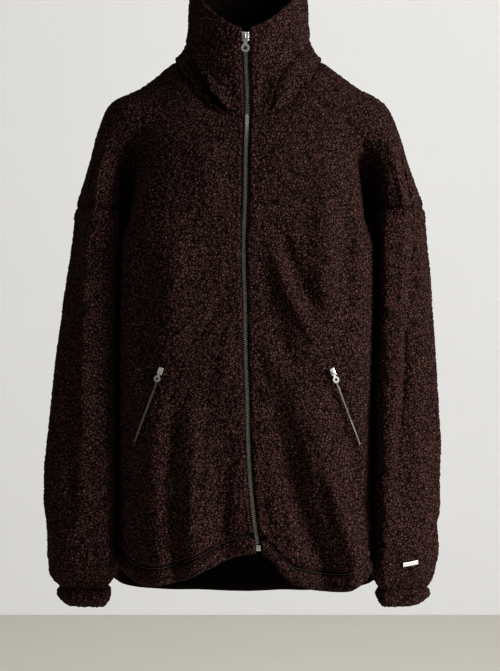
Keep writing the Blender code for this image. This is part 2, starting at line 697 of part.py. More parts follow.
def add_collar(material):
    sheet = Sheet()
    ring = [(+1, -1, s) for s in BODY_S + CAP_S[1:]]
    ring += [(+1, +1, s) for s in reversed(BODY_S + CAP_S[1:-1])]
    ring += [(-1, +1, s) for s in (BODY_S + CAP_S[1:])[1:]]
    ring += [(-1, -1, s) for s in reversed(BODY_S + CAP_S[1:-1])]
    grid = {}
    last = len(ring) - 1
    kept = [i for i in range(len(ring)) if i % 2 == 0 or i == last]
    for i, (side, face, s) in enumerate(ring):
        for j, t in enumerate(COLLAR_UP):
            if j and i not in kept:
                continue
            p = collar(side, face, np.array(s), np.array(t))
            e = 0.02
            dt = collar(side, face, np.array(s), np.array(min(t + e, 1.0))) - collar(
                side, face, np.array(s), np.array(max(t - e, 0.0)))
            s0, s1 = max(s - 0.05, 0.0), min(s + 0.05, 3.0)
            ds = collar(side, face, np.array(s1), np.array(t)) - collar(
                side, face, np.array(s0), np.array(t))
            if s <= 0:
                ds = np.array([1.0, 0, 0])
            if s >= 3:
                ds = np.array([0.0, 1.0, 0])
            n = np.cross(ds, dt)
            n = n / max(np.linalg.norm(n), 1e-9)
            if np.dot(n, [p[0], p[1], 0]) < 0:
                n = -n
            if t <= 0:
                n = neck_normal(side, face, s)
                p = p - down_from_neck(side, face, s) * 0.5 * SEAM_GAP
            if s <= 0 and face < 0:
                p = p + np.array([side * FRONT_EDGE, 0, 0])
                n = np.array([0, -1.0, 0])
            grid[(i, j)] = sheet.point((i, j), p, n, WALL)
    for a, b in zip(kept[:-1], kept[1:]):
        low = [grid[(k, 0)] for k in range(a, b + 1)]
        sheet.faces.append(tuple(low + [grid[(b, 1)], grid[(a, 1)]]))
        for j in range(1, len(COLLAR_UP) - 1):
            sheet.quad(grid[(a, j)], grid[(b, j)], grid[(b, j + 1)], grid[(a, j + 1)])
    return sheet.solid("collar", material)


# ----------------------------------------------------------------- hardware
def tree_of(*objects):
    verts, faces = [], []
    for ob in objects:
        base = len(verts)
        verts += [v.co.copy() for v in ob.data.vertices]
        faces += [[base + k for k in f.vertices] for f in ob.data.polygons]
    return BVHTree.FromPolygons(verts, faces)


def hit_y(tree, x, z, from_inside):
    """Where a line along Y at x, z (mm) first meets the cloth, from inside the
    body or from in front of it."""
    start = Vector((x * MM, (-40 if from_inside else -300) * MM, z * MM))
    way = Vector((0, -1, 0)) if from_inside else Vector((0, 1, 0))
    where = tree.ray_cast(start, way)[0]
    return None if where is None else where.y / MM


def centre_path(z_high, z_low, step):
    """Points down the zip's line: x, y of the cloth's outside, z."""
    rows = []
    for t in np.linspace(1, 0, 30):
        rows.append(collar(+1, -1, np.array(0.0), np.array(t)))
    for r in list(np.linspace(0, 1, 30)[1:]) + list(np.linspace(1, 2, 60)[1:]):
        rows.append(body(+1, -1, np.array(0.0), np.array(r)))
    rows = np.array(rows)
    z = np.linspace(z_high, z_low, max(2, int(round(abs(z_high - z_low) / step)) + 1))
    y = np.interp(-z, -rows[:, 2], rows[:, 1])
    return [(float(front_x(k)), float(v), float(k)) for k, v in zip(z, y)]


def strip(name, rows, material):
    """rows: for each place along it, a closed section of points in mm."""
    n = len(rows[0])
    verts = [p for row in rows for p in row]
    faces = []
    for i in range(len(rows) - 1):
        for k in range(n):
            a, b = i * n + k, i * n + (k + 1) % n
            faces.append((a, b, b + n, a + n))
    faces.append(tuple(range(n)))
    faces.append(tuple((len(rows) - 1) * n + k for k in reversed(range(n))))
    return new_object(name, verts, faces, material)


def add_front_zip(tree, mats):
    path = centre_path(ZIP_TOP_Z + 4, -674, 26)
    for name, side in (("zip_tape_left", 1), ("zip_tape_right", -1)):
        rows = []
        for x, y, z in path:
            edges = (TAPE_INSIDE, TAPE_INSIDE + TAPE_WIDE * 0.65)
            seen = [hit_y(tree, x + side * (dx + k), z + m, True)
                    for dx in (FRONT_EDGE + 1, edges[1]) for k in (-2, 0, 1)
                    for m in (-18, -12, -6, 0, 6, 12, 18)]
            seen = [v for v in seen if v is not None and v < y + 20]
            at = max([y + WALL] + seen) + 0.5
            rows.append([(x + side * edges[0], at, z), (x + side * edges[1], at, z),
                         (x + side * edges[1], at + TAPE_THICK, z),
                         (x + side * edges[0], at + TAPE_THICK, z)])
        strip(name, rows, mats["tape_brown"])
    rows = []
    half, deep = CHAIN_WIDE / 2, WALL - 0.7
    for x, y, z in centre_path(ZIP_TOP_Z - 7.5, -668, 30):
        y0, y1 = y + deep, y + deep + CHAIN_THICK
        rows.append([(x - half, y0 + 0.5, z), (x - half + 0.7, y0, z),
                     (x + half - 0.7, y0, z), (x + half, y0 + 0.5, z),
                     (x + half, y1 - 0.5, z), (x + half - 0.7, y1, z),
                     (x - half + 0.7, y1, z), (x - half, y1 - 0.5, z)])
    strip("zip_chain", rows, mats["zip_metal"])
    x, y, z = centre_path(-672.5, -673, 1)[0]
    box = box_mesh("zip_box", (7.0, 3.2, 8.0), mats["zip_metal"], bevel=0.5)
    box.location = Vector((x, y + deep + CHAIN_THICK / 2, z)) * MM


def box_mesh(name, size, material, bevel=0.0, at=(0, 0, 0)):
    mesh = bpy.data.meshes.new(name)
    bm = bmesh.new()
    bmesh.ops.create_cube(bm, size=1.0)
    bmesh.ops.scale(bm, vec=Vector(size) * MM, verts=bm.verts)
    bmesh.ops.translate(bm, vec=Vector(at) * MM, verts=bm.verts)
    if bevel:
        bmesh.ops.bevel(bm, geom=list(bm.edges), offset=bevel * MM, segments=2,
                        profile=0.5, affect="EDGES")
    bm.to_mesh(mesh)
    bm.free()
    ob = bpy.data.objects.new(name, mesh)
    bpy.context.scene.collection.objects.link(ob)
    mesh.materials.append(material)
    mesh.shade_smooth()
    mesh.set_sharp_from_angle(angle=math.radians(40))
    return ob


def joined(base, others):
    """One solid of overlapping ones."""
    for other in others:
        mod = base.modifiers.new("join", "BOOLEAN")
        mod.operation = "UNION"
        mod.solver = "EXACT"
        mod.object = other
    bpy.context.view_layer.update()
    mesh = bpy.data.meshes.new_from_object(
        base.evaluated_get(bpy.context.evaluated_depsgraph_get()))
    base.modifiers.clear()
    base.data = mesh
    for other in others:
        bpy.data.objects.remove(other, do_unlink=True)
    return base


def slider(name, k, place, material, chain_front):
    """Zip slider about its pull's axis: wings each side of the chain, a post
    between them at the top, and a bridge for the pull. k: its size."""
    y0 = chain_front - 0.45           # back of the front wing
    front = box_mesh(name, ((10.4 if k == 1 else 8.6 * k), 1.5 * k, 12.5 * k), material, 0.55 * k,
                     (0, y0 - 0.75 * k, -0.8 * k))
    rear_y = chain_front + CHAIN_THICK + 0.45
    others = []
    if k == 1:
        others.append(box_mesh("w", (6.4, 1.4, 12.5), material, 0.5,
                               (0, rear_y + 0.7, -0.8)))
        others.append(box_mesh("p", (2.6, rear_y - y0 + 1.2, 3.0), material, 0,
                               (0, (rear_y + y0) / 2, 3.2)))
    bar = 1.5 * k
    top = y0 - 1.5 * k
    out = -0.7 * k - 0.45 * k - bar
    others.append(box_mesh("l1", (bar, top - out + 0.6, 1.3 * k), material, 0,
                           (0, (top + out + 0.6) / 2, 4.15 * k)))
    others.append(box_mesh("l2", (bar, top - out + 0.6, 1.3 * k), material, 0,
                           (0, (top + out + 0.6) / 2, -4.15 * k)))
    others.append(box_mesh("b", (bar * 0.98, bar, 9.6 * k), material, 0.3 * k,
                           (0, out + bar / 2, 0)))
    ob = joined(front, others)
    ob.matrix_world = place
    return ob


def pull(name, k, place, material):
    """Flat pull tab about its axis: an eye round the slider's bridge, a narrow
    shank and a ring end."""
    def arc(cx, cz, r, a0, a1, n):
        return [(cx + r * math.cos(math.radians(a)), cz + r * math.sin(math.radians(a)))
                for a in np.linspace(a0, a1, n)]
    outer = [(-2.9, 0.7), (2.9, 0.7), (2.9, -6.4), (2.3, -8.4)]
    outer += arc(0, -15.4, 5.6, 62, -242, 21)
    outer += [(-2.3, -8.4), (-2.9, -6.4)]
    window = [(-1.6, -0.7), (-1.6, -5.9), (1.6, -5.9), (1.6, -0.7)]
    hole = arc(0, -15.6, 2.7, 0, 330, 12)
    data = bpy.data.curves.new(name, "CURVE")
    data.dimensions = "2D"
    data.fill_mode = "BOTH"
    data.extrude = 0.7 * k * MM
    for loop in (outer, window, hole):
        line = data.splines.new("POLY")
        line.points.add(len(loop) - 1)
        for point, (x, z) in zip(line.points, loop):
            point.co = (x * k * MM, z * k * MM, 0, 1)
        line.use_cyclic_u = True
    temp = bpy.data.objects.new("temp", data)
    bpy.context.scene.collection.objects.link(temp)
    bpy.context.view_layer.update()
    mesh = bpy.data.meshes.new_from_object(
        temp.evaluated_get(bpy.context.evaluated_depsgraph_get()))
    bpy.data.objects.remove(temp, do_unlink=True)
    bm = bmesh.new()
    bm.from_mesh(mesh)
    bmesh.ops.remove_doubles(bm, verts=bm.verts, dist=1e-7)
    # drawn in X and Y: stand it up so the length runs down and thickness is Y
    bmesh.ops.rotate(bm, verts=bm.verts, matrix=Matrix.Rotation(math.pi / 2, 3, "X"))
    bmesh.ops.recalc_face_normals(bm, faces=bm.faces)
    if bm.calc_volume(signed=True) < 0:
        bmesh.ops.reverse_faces(bm, faces=bm.faces)
    bm.to_mesh(mesh)
    bm.free()
    mesh.materials.clear()
    mesh.materials.append(material)
    mesh.shade_smooth()
    mesh.set_sharp_from_angle(angle=math.radians(40))
    ob = bpy.data.objects.new(name, mesh)
    bpy.context.scene.collection.objects.link(ob)
    ob.matrix_world = place
    return ob


def frame_at(origin_mm, out, down):
    """Local -Y is out of the cloth, local -Z is down along the zip."""
    y = -Vector(out).normalized()
    z = -Vector(down).normalized()
    x = y.cross(z).normalized()
    z = x.cross(y).normalized()
    m = Matrix((x, y, z)).transposed().to_4x4()
    m.translation = Vector(origin_mm) * MM
    return m


def add_front_slider(mats):
    z = ZIP_TOP_Z - 4.5
    x, y, _ = centre_path(z, z - 1, 1)[0]
    chain_front = 3.1
    origin = (x, y + WALL - 0.7 - chain_front, z)
    place = frame_at(origin, (0, -1, 0), (0, 0, -1))
    slider("zip_slider", 1.0, place, mats["zip_metal"], chain_front)
    pull("zip_pull", 1.1, place, mats["zip_metal"])


def add_pocket(tag, spec, tree, mats):
    side, x0, z0, x1, z1 = spec
    n = 9
    rows, mids = [], []
    along = np.array([x1 - x0, z1 - z0], float)
    long = np.linalg.norm(along)
    along /= long
    across = np.array([-along[1], along[0]])
    half = POCKET_CHAIN_WIDE / 2
    lift = 1.1
    for u in np.linspace(0.07, 1, n):
        c = np.array([x0, z0]) + along * long * u
        seen = []
        for w in np.linspace(-half - 1, half + 1, 5):
            for v in (-7, -3, 0, 3, 7):
                q = c + across * w + along * v
                seen.append((w, hit_y(tree, q[0], q[1], False)))
        fit = np.polyfit([w for w, _ in seen], [v for _, v in seen], 1)
        worst = min(v - np.polyval(fit, w) for w, v in seen)
        mids.append((c, fit, worst))
        sec = []
        for w, d in ((-half, 0), (-half, 1.2), (-half + 0.7, POCKET_CHAIN_THICK),
                     (half - 0.7, POCKET_CHAIN_THICK), (half, 1.2), (half, 0)):
            q = c + across * w
            y = np.polyval(fit, w) + worst - lift - d
            sec.append((q[0], y, q[1]))
        rows.append(sec)
    strip("pocket_chain_" + tag, rows, mats["zip_metal"])
    # slider at the top end, on the chain
    c, fit, worst = mids[0]
    y = fit[1] + worst - lift - POCKET_CHAIN_THICK
    c2, fit2, worst2 = mids[2]
    y2 = fit2[1] + worst2 - lift - POCKET_CHAIN_THICK
    down = Vector((c2[0] - c[0], y2 - y, c2[1] - c[1]))
    wide = Vector((across[0], fit[0], across[1]))
    out = down.cross(wide).normalized()
    if out.y > 0:
        out = -out
    k = 0.8
    chain_front = 0.35 + 2.65
    at = Vector((c[0], y, c[1])) + out * (chain_front - 0.05) + down.normalized() * 3.0
    place = frame_at(at, out, down)
    slider("pocket_slider_" + tag, k, place, mats["zip_metal"], chain_front - 0.35)
    pull("pocket_pull_" + tag, k, place, mats["zip_metal"])


def add_bag(tag, side, tree, material):
    """Pocket bag: one piece inside the front, behind the slanted zip."""
    xs = np.linspace(70, 160, 6)
    sheet = Sheet()
    grid = {}
    z_top = -405.0
    for i, x in enumerate(xs):
        for j, w in enumerate(np.linspace(0, 1, 7)):
            z = z_top - 190 * w - 10 * math.sin(math.pi * (i / 5)) * w
            seen = [hit_y(tree, side * (x + dx), z + dz, True)
                    for dx in (-12, -6, 0, 6, 12) for dz in (-16, -8, 0, 8, 16)]
            y = max(v for v in seen if v is not None) + 3.0
            grid[(i, j)] = sheet.point((i, j), (side * x, y, z), (0, -1, 0), 1.5)
            sheet.inner[-1] = sheet.outer[-1] + np.array([0, 1.5, 0])
    for i in range(5):
        for j in range(6):
            q = (grid[(i, j)], grid[(i + 1, j)], grid[(i + 1, j + 1)], grid[(i, j + 1)])
            sheet.quad(*(q if side > 0 else q[::-1]))
    sheet.solid("pocket_bag_" + tag, material)


def add_plate(tree, material):
    x, z, tilt = PLATE_AT
    wide, tall, thick = PLATE
    pts = []
    for dx in (-wide / 2, 0, wide / 2):
        for dz in (-tall / 2 - 1, 0, tall / 2 + 1):
            where = tree.ray_cast(Vector(((x + dx) * MM, -0.3, (z + dz) * MM)),
                                  Vector((0, 1, 0)))[0]
            pts.append((dx, dz, where.y / MM))
    a = np.array([(p[0], p[1], 1) for p in pts])
    sol = np.linalg.lstsq(a, np.array([p[2] for p in pts]), rcond=None)[0]
    worst = min(p[2] - np.dot(sol, (p[0], p[1], 1)) for p in pts)
    out = Vector((sol[0], -1, sol[1])).normalized()
    place = frame_at((x, sol[2] + worst - 0.6 - thick / 2, z), out,
                     Vector((math.sin(math.radians(tilt)), 0, -math.cos(math.radians(tilt)))))
    ob = box_mesh("sleeve_plate", (wide, thick, tall), material, 0.45)
    ob.matrix_world = place


def main():
    for ob in list(bpy.data.objects):
        bpy.data.objects.remove(ob, do_unlink=True)
    mats = {name: make_material(name) for name in MATERIALS}
    brown = mats["pile_brown"]
    sheet = Sheet()
    add_half(sheet, +1, -1, True)
    front_left = sheet.solid("front_left", brown)
    sheet = Sheet()
    add_half(sheet, -1, -1, True)
    front_right = sheet.solid("front_right", brown)
    sheet = Sheet()
    add_half(sheet, +1, +1, False)
    add_half(sheet, -1, +1, False)
    sheet.solid("back", brown)
    left = add_sleeve("sleeve_left", +1, brown)
    add_sleeve("sleeve_right", -1, brown)
    add_cuff("cuff_left", +1, brown)
    add_cuff("cuff_right", -1, brown)
    neck = add_collar(brown)
    tree = tree_of(front_left, front_right, neck)
    add_front_zip(tree, mats)
    add_front_slider(mats)
    for tag, spec in (("right", POCKETS[0]), ("left", POCKETS[1])):
        add_pocket(tag, spec, tree, mats)
        add_bag(tag, spec[0], tree, mats["tape_brown"])
    add_plate(tree_of(left), mats["plate_metal"])


main()
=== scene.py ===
"""Looks of the pile fleece jacket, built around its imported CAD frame: dense
pile cloth shells with their creases and seams, zip teeth, stitches, materials,
light, floor and camera. Metres, +Z up, the front faces -Y."""

import math

import bpy
import numpy as np
from mathutils import Matrix, Vector


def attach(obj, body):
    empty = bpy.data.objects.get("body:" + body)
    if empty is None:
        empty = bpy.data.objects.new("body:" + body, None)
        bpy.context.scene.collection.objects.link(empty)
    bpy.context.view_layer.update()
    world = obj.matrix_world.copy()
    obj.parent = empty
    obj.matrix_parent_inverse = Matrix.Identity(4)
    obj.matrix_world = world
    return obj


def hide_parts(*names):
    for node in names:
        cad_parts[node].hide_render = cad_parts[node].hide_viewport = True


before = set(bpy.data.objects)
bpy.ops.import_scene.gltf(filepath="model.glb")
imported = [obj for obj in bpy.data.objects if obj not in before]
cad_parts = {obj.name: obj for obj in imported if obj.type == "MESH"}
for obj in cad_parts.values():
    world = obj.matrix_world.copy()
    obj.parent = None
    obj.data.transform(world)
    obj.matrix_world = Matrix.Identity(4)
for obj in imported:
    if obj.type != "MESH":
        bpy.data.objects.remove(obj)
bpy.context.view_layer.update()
MM = 0.001

# ------------------------------------------- the jacket's sizes, as in the CAD
UNDERARM = 7.0
WALL = 4.0
FRONT_EDGE = 5.8
CHAIN_THICK = 2.4
ZIP_TOP_Z = 47.0
SEAM_ROLL, SEAM_WIDE = 2.6, 4.2      # how far and how wide the seams sink
HEM_STITCH = 25.0                    # stitch line above the hem edge
RINGS = [
    # r,    z_f,  z_o,  z_b, out_l, out_r, d_f, d_b, valley, c_f, c_b
    (0.00,  -70,   18,   22,   103,   110, 112,  82,  0.00,  60,  60),
    (0.22,  -82,  -19,  -14,   150,   160, 121, 112,  0.00,  74,  84),
    (0.45, -104,  -42,  -44,   194,   199, 129, 132,  0.06,  86,  94),
    (0.68, -133,  -80,  -86,   213,   219, 135, 143,  0.30,  92, 100),
    (0.85, -163, -130, -134,   226,   234, 139, 148,  0.70,  94, 102),
    (1.00, -204, -194, -204,   243,   254, 144, 150,  1.00,  92, 102),
]
TUBE = [
    # r,   w_l, w_r, d_f, d_b
    (1.0,  176, 182, 144, 150),
    (1.1,  178.5, 184, 147, 150),
    (1.3,  181, 184, 150, 150),
    (1.6,  183, 181, 151, 152),
    (1.85, 184, 180.5, 152, 156),
    (2.0,  184, 180, 153, 158),
]
HEM = [
    # s,   left, right
    (0.00, -681, -683),
    (0.04, -685, -714),
    (0.12, -701, -729),
    (0.28, -722, -735),
    (0.45, -727, -727),
    (0.65, -712, -711),
    (0.82, -701, -703),
    (1.00, -697, -702),
    (1.25, -728, -730),
    (1.60, -757, -757),
    (2.00, -765, -765),
]
FRONT_LINE = [
    (60, -1), (8, 0), (-45, 2), (-125, 0), (-189, -1), (-252, -3), (-340, -1),
    (-412, 0), (-467, 2), (-523, 3), (-578, 6), (-620, 10), (-654, 14), (-690, 21),
]
SLEEVE_LEFT_SIDE = [   # the wearer's right sleeve, at -X
    # z,   x_in, x_out, y_c, depth
    (-225, 180, 246,   2, 92),
    (-283, 182, 255,  -2, 88),
    (-356, 183, 266,  -8, 84),
    (-419, 183, 274, -14, 82),
    (-472, 183, 279, -19, 82),
    (-530, 183, 285, -24, 82),
    (-588, 183, 289, -29, 83),
    (-646, 184, 287, -33, 82),
    (-689, 185, 283, -36, 76),
    (-718, 187, 281, -38, 66),
    (-736, 194, 270, -39, 54),
]
SLEEVE_RIGHT_SIDE = [  # the wearer's left sleeve, at +X
    (-225, 186, 258,   2, 92),
    (-283, 187, 264,  -2, 88),
    (-356, 185, 270,  -8, 84),
    (-414, 183, 273, -14, 82),
    (-472, 182, 276, -19, 82),
    (-530, 182, 277, -24, 82),
    (-588, 181, 277, -29, 83),
    (-646, 180, 277, -33, 82),
    (-689, 180, 275, -36, 76),
    (-722, 181, 268, -38, 66),
    (-738, 187, 263, -39, 54),
]
CUFFS = [
    # side, x_in, x_out, y_c, depth, z_top, z_low
    (-1, 194, 270, -39, 50, -735, -764),
    (+1, 186, 262, -39, 50, -737, -763),
]
COLLAR = [
    # t,   half_l, half_r, front, back
    (0.00, 103, 110, 112, 82),
    (0.12,  94, 101, 112, 83),
    (0.27,  87,  94, 112, 84),
    (0.50,  85,  92, 112, 86),
    (0.75,  83,  90, 112, 87),
    (1.00,  82,  87, 111, 86),
]
COLLAR_TOP_Z = (56, 122, 138)
COLLAR_LINE = [
    (0.00, -0.08, -0.10), (0.04, -0.01, -0.02), (0.08, 0.06, 0.08),
    (0.12, 0.11, 0.24), (0.18, 0.15, 0.35), (0.24, 0.21, 0.34),
    (0.36, 0.25, 0.32), (0.50, 0.27, 0.34), (0.75, 0.30, 0.35), (1.00, 0.31, 0.33),
]
ROLL_DEPTH, ROLL_OUT, ROLL_STEP = 10.0, 6.0, 0.060
FRONT_FOLDS = [
    # x0,   z0,  x1,   z1,  x2,   z2, wide, out
    (26, -225,  56, -312, 106, -405, 15, 10),
    (50, -235,  78, -305, 112, -370, 13, -10),
    (14, -270,  38, -345,  66, -430, 15, -7),
    (112, -150, 113, -260, 113, -370, 19, 8),
    (142, -160, 143, -280, 143, -400, 12, -6),
    (52, -415,  92, -510, 142, -690, 20, 16),
    (28, -450,  54, -580,  88, -700, 19, -15),
    (120, -440, 142, -530, 160, -640, 15, -8),
    (-72, -470, -84, -570, -92, -700, 22, 10),
    (-22, -430, -34, -540, -40, -680, 17, -9),
    (-100, -470, -106, -570, -112, -690, 12, -8),
    (-124, -440, -130, -560, -134, -690, 17, 9),
    (-60, -100, -52, -150, -40, -210, 26, 5),
    (-146, -260, -146, -360, -140, -460, 14, -7),
    (-96, -210, -100, -310, -96, -420, 22, 5),
]
BACK_FOLDS = [
    (20, -200, 34, -400, 52, -740, 26, 9),
    (-48, -260, -62, -460, -74, -740, 28, 10),
    (98, -230, 110, -420, 126, -720, 24, 8),
    (-120, -300, -128, -480, -136, -710, 22, 7),
    (-12, -380, -10, -560, -8, -750, 20, -8),
    (76, -340, 84, -540, 92, -730, 20, -7),
]
POCKETS = [
    # side, x_top, z_top, x_low, z_low
    (-1, -114, -416, -156, -528),
    (+1, 116, -417, 160, -532),
]
SLEEVE_FOLDS = [
    # around at the start and the end, z_start, z_end, half width, out
    (0.62, 0.50, -380, -720, 0.20,  -3.0),
    (1.66, 1.60, -300, -690, 0.17,   4.0),
    (2.60, 2.60, -240, -600, 0.20,  -5.0),
    (3.05, 3.05, -260, -700, 0.22,   5.0),
]
SLEEVE_STEP = [
    # z, left side, right side
    (-170, 228, 229), (-230, 226, 227), (-290, 226, 224), (-375, 228, 219),
    (-440, 230, 213), (-520, 232, 207), (-640, 234, 204),
]


def curve(table, col, at):
    """Smooth curve through a table's column against its first column."""
    t = np.asarray([row[0] for row in table], float)
    v = np.asarray([row[col] for row in table], float)
    if t[0] > t[-1]:
        t, v = t[::-1], v[::-1]
    slope = np.gradient(v, t)
    x = np.clip(np.asarray(at, float), t[0], t[-1])
    i = np.clip(np.searchsorted(t, x, side="right") - 1, 0, len(t) - 2)
    h = t[i + 1] - t[i]
    u = (x - t[i]) / h
    return (
        v[i] * (1 + 2 * u) * (1 - u) ** 2
        + slope[i] * h * u * (1 - u) ** 2
        + v[i + 1] * u * u * (3 - 2 * u)
        + slope[i + 1] * h * u * u * (u - 1)
    )


def ease(x):
    x = np.clip(x, 0, 1)
    return x * x * (3 - 2 * x)


def front_x(z):
    return curve(FRONT_LINE, 1, z)


def fold_height(folds, x, z):
    """Soft ridges and troughs along bent lines in the panel's x and z."""
    total = np.zeros(np.broadcast(x, z).shape)
    for x0, z0, x1, z1, x2, z2, wide, out in folds:
        u = np.clip((z - z0) / (z2 - z0), 0, 1)
        mid = (z1 - z0) / (z2 - z0)
        xa = np.where(u < mid, x0 + (x1 - x0) * u / mid,
                      x1 + (x2 - x1) * (u - mid) / (1 - mid))
        along = np.sin(np.pi * np.clip((z - z0) / (z2 - z0), 0, 1)) ** 0.6
        fade = np.where((z - z0) / (z2 - z0) >= 1, 0.0, along)
        open_end = z2 < -650      # folds that run out at the hem stay open
        if open_end:
            fade = np.sin(np.pi / 2 * np.clip((z - z0) / (z2 - z0), 0, 1)) ** 0.8
        total = total + out * np.exp(-(((x - xa) / wide) ** 2)) * fade
    return total


def oval(s, half, deep):
    turn = np.interp(s, [0, 1, 2, 3], [0, 0.50, 0.68, 1.0]) * math.pi / 2
    p = 0.86
    return half * np.sin(turn) ** p, deep * np.cos(turn) ** p


def lobed(s, half, wall, deep, crest, broad):
    """Body quarter, narrow round fold, then the arm's two quarters."""
    r = UNDERARM
    a = np.clip(s / 0.9, 0, 1) * math.pi / 2
    x_body = (wall - r) * np.sin(a) ** 0.62 + broad * np.sin(2 * a) ** 2
    y_body = r + (deep - r) * np.cos(a) ** 0.62
    b = np.clip((s - 0.9) / 0.1, 0, 1) * math.pi / 2
    x_turn = wall - r * np.cos(b)
    y_turn = r - r * np.sin(b)
    c = np.clip((s - 1.0) / 0.12, 0, 1) * math.pi / 2
    x_turn2 = wall + r * np.sin(c)
    y_turn2 = r - r * np.cos(c)
    mid = 0.5 * (wall + r + half)
    d = np.clip((s - 1.12) / 0.88, 0, 1) * math.pi / 2
    x_in = mid - (mid - wall - r) * np.cos(d) ** 0.68
    y_in = r + (crest - r) * np.sin(d) ** 0.68
    e = np.clip(s - 2.0, 0, 1) * math.pi / 2
    x_outer = mid + (half - mid) * np.sin(e) ** 0.85
    y_outer = crest * np.cos(e) ** 0.85
    x = np.where(s <= 0.9, x_body, np.where(s <= 1, x_turn, np.where(
        s <= 1.12, x_turn2, np.where(s <= 2, x_in, x_outer))))
    y = np.where(s <= 0.9, y_body, np.where(s <= 1, y_turn, np.where(
        s <= 1.12, y_turn2, np.where(s <= 2, y_in, y_outer))))
    return x, y


def body_base(side, face, s, r):
    """Point before folds. side -1 or +1 in X, face -1 front or +1 back."""
    s, r = np.broadcast_arrays(np.asarray(s, float), np.asarray(r, float))
    up = np.minimum(r, 1.0)
    half = curve(RINGS, 4 if side < 0 else 5, up)
    deep = curve(RINGS, 6 if face < 0 else 7, up)
    crest = curve(RINGS, 9 if face < 0 else 10, up)
    form = np.clip(curve(RINGS, 8, up), 0, 1)
    wall = 171.0 if side < 0 else 175.0
    xo, yo = oval(s, half, deep)
    # the back is boxier: it passes behind the inside of the arms
    broad = 13.0 + (0.0 if face < 0 else 43.0) * ease((up - 0.80) / 0.20)
    xl, yl = lobed(s, half, wall, deep, crest, broad)
    z_c = curve(RINGS, 1 if face < 0 else 3, up)
    z_s = curve(RINGS, 2, up)
    lift = np.sin(np.clip(s / 3, 0, 1) * math.pi / 2) ** 2
    if face < 0:                                # neckline rises early at the sides
        lift = lift + 0.27 * np.exp(-(((s - 1.1) / 0.42) ** 2)) * (1 - ease(r / 0.45))
    x = xo + (xl - xo) * form
    y = yo + (yl - yo) * form
    z = z_c + (z_s - z_c) * lift
    # below the underarm the body is a plain tube
    low = np.clip(r - 1, 0, 1)
    wall_l = curve(TUBE, 1 if side < 0 else 2, 1 + low)
    deep_l = curve(TUBE, 3 if face < 0 else 4, 1 + low)
    a = np.clip(s, 0, 1) * math.pi / 2
    broad = 13.0 if face < 0 else 50.0 - 4.0 * low
    xt = wall_l * np.sin(a) ** (0.60 if face < 0 else 0.72) + broad * np.sin(2 * a) ** 2
    yt = deep_l * np.cos(a) ** 0.62
    near = ease(low / 0.09)
    hem = curve(HEM, 1 if side < 0 else 2, s if face < 0 else 2 - s)
    z_u = z_c + (z_s - z_c) * lift
    x = np.where(r > 1, x + (xt - 1.5 - x) * near, x)
    y = np.where(r > 1, y + (yt - y) * near, y)
    z = np.where(r > 1, z_u + (hem - z_u) * low, z)
    return x, y, z


def step_fold(side, x, z):
    """A fold that stands up slowly from the inside and drops to the outside."""
    u = x - curve(SLEEVE_STEP, 1 if side < 0 else 2, z)
    fade = np.sin(np.pi * np.clip((z + 150) / -500.0, 0, 1)) ** 0.45
    near = np.exp(-((u / 8.0) ** 2))
    inside = 8.0 * np.exp(-((u / 24.0) ** 2))
    outside = 8.0 * near - 7.0 * (1 - near) * np.exp(-((u / 27.0) ** 2))
    return fade * np.where(u < 0, inside, outside)


def sleeve(side, around, down):
    """around: 0 beside the body, 1 front, 2 outside, 3 back, 4 beside it again.
    down: 0 armhole seam to 1 cuff seam."""
    around, down = np.broadcast_arrays(np.asarray(around, float), np.asarray(down, float))
    front = around <= 2
    s = np.where(front, 1 + around, 5 - around)
    face = np.where(front, -1.0, 1.0)
    top_f, top_b = body(side, -1, s, 1.0), body(side, 1, s, 1.0)
    top = np.where(front[..., None], top_f, top_b)
    table = SLEEVE_LEFT_SIDE if side < 0 else SLEEVE_RIGHT_SIDE
    z_end = table[-1][0]
    z = top[..., 2] + (z_end - top[..., 2]) * down
    x_in, x_out = curve(table, 1, z), curve(table, 2, z)
    y_c, depth = curve(table, 3, z), curve(table, 4, z)
    mid, half = (x_in + x_out) / 2, (x_out - x_in) / 2
    p = 0.80
    q = np.where(front, 0.34, p)                 # pressed square beside the body
    d = np.clip(s - 1, 0, 1) * math.pi / 2
    e = np.clip(s - 2, 0, 1) * math.pi / 2
    x = np.where(s <= 2, mid - half * np.cos(d) ** q, mid + half * np.sin(e) ** p)
    y = np.where(s <= 2, np.sin(d) ** q, np.cos(e) ** p) * depth * face
    y = y * np.where(front, 1 + (0.05 if side < 0 else 0.22) * (mid - x) / half, 1.0) + y_c
    h = np.zeros(x.shape)
    for a0, a1, z0, z1, wide, out in SLEEVE_FOLDS:
        u = np.clip((z - z0) / (z1 - z0), 0, 1)
        line = a0 + (a1 - a0) * u
        h = h + out * np.exp(-(((around - line) / wide) ** 2)) * np.sin(np.pi * u) ** 0.6
    h = h + np.where(front, step_fold(side, x, z), 0.0) * ease((0.9 - np.abs(around - 1)) / 0.3)
    # the wide sleeve slumps in soft rings just above the cuff
    low = np.clip((down - 0.72) / 0.28, 0, 1)
    h = h + 3.5 * np.sin(low * 3.2 * math.pi + 1.1 * np.sin(around * math.pi / 2)) * low * (1 - low) * 2
    nx, ny = (x - mid) / half, (y - y_c) / depth
    size = np.maximum(np.hypot(nx, ny), 1e-6)
    x, y = x + h * nx / size, y + h * ny / size
    m = ease((top[..., 2] - z) / 45.0)
    tuck = ease((down - 0.975) / 0.025) * 3.0          # turned in at the cuff
    x = x - tuck * nx / size
    y = y - tuck * ny / size
    out = np.stack([side * x, y, z], -1)
    return top * (1 - m[..., None]) + out * m[..., None]


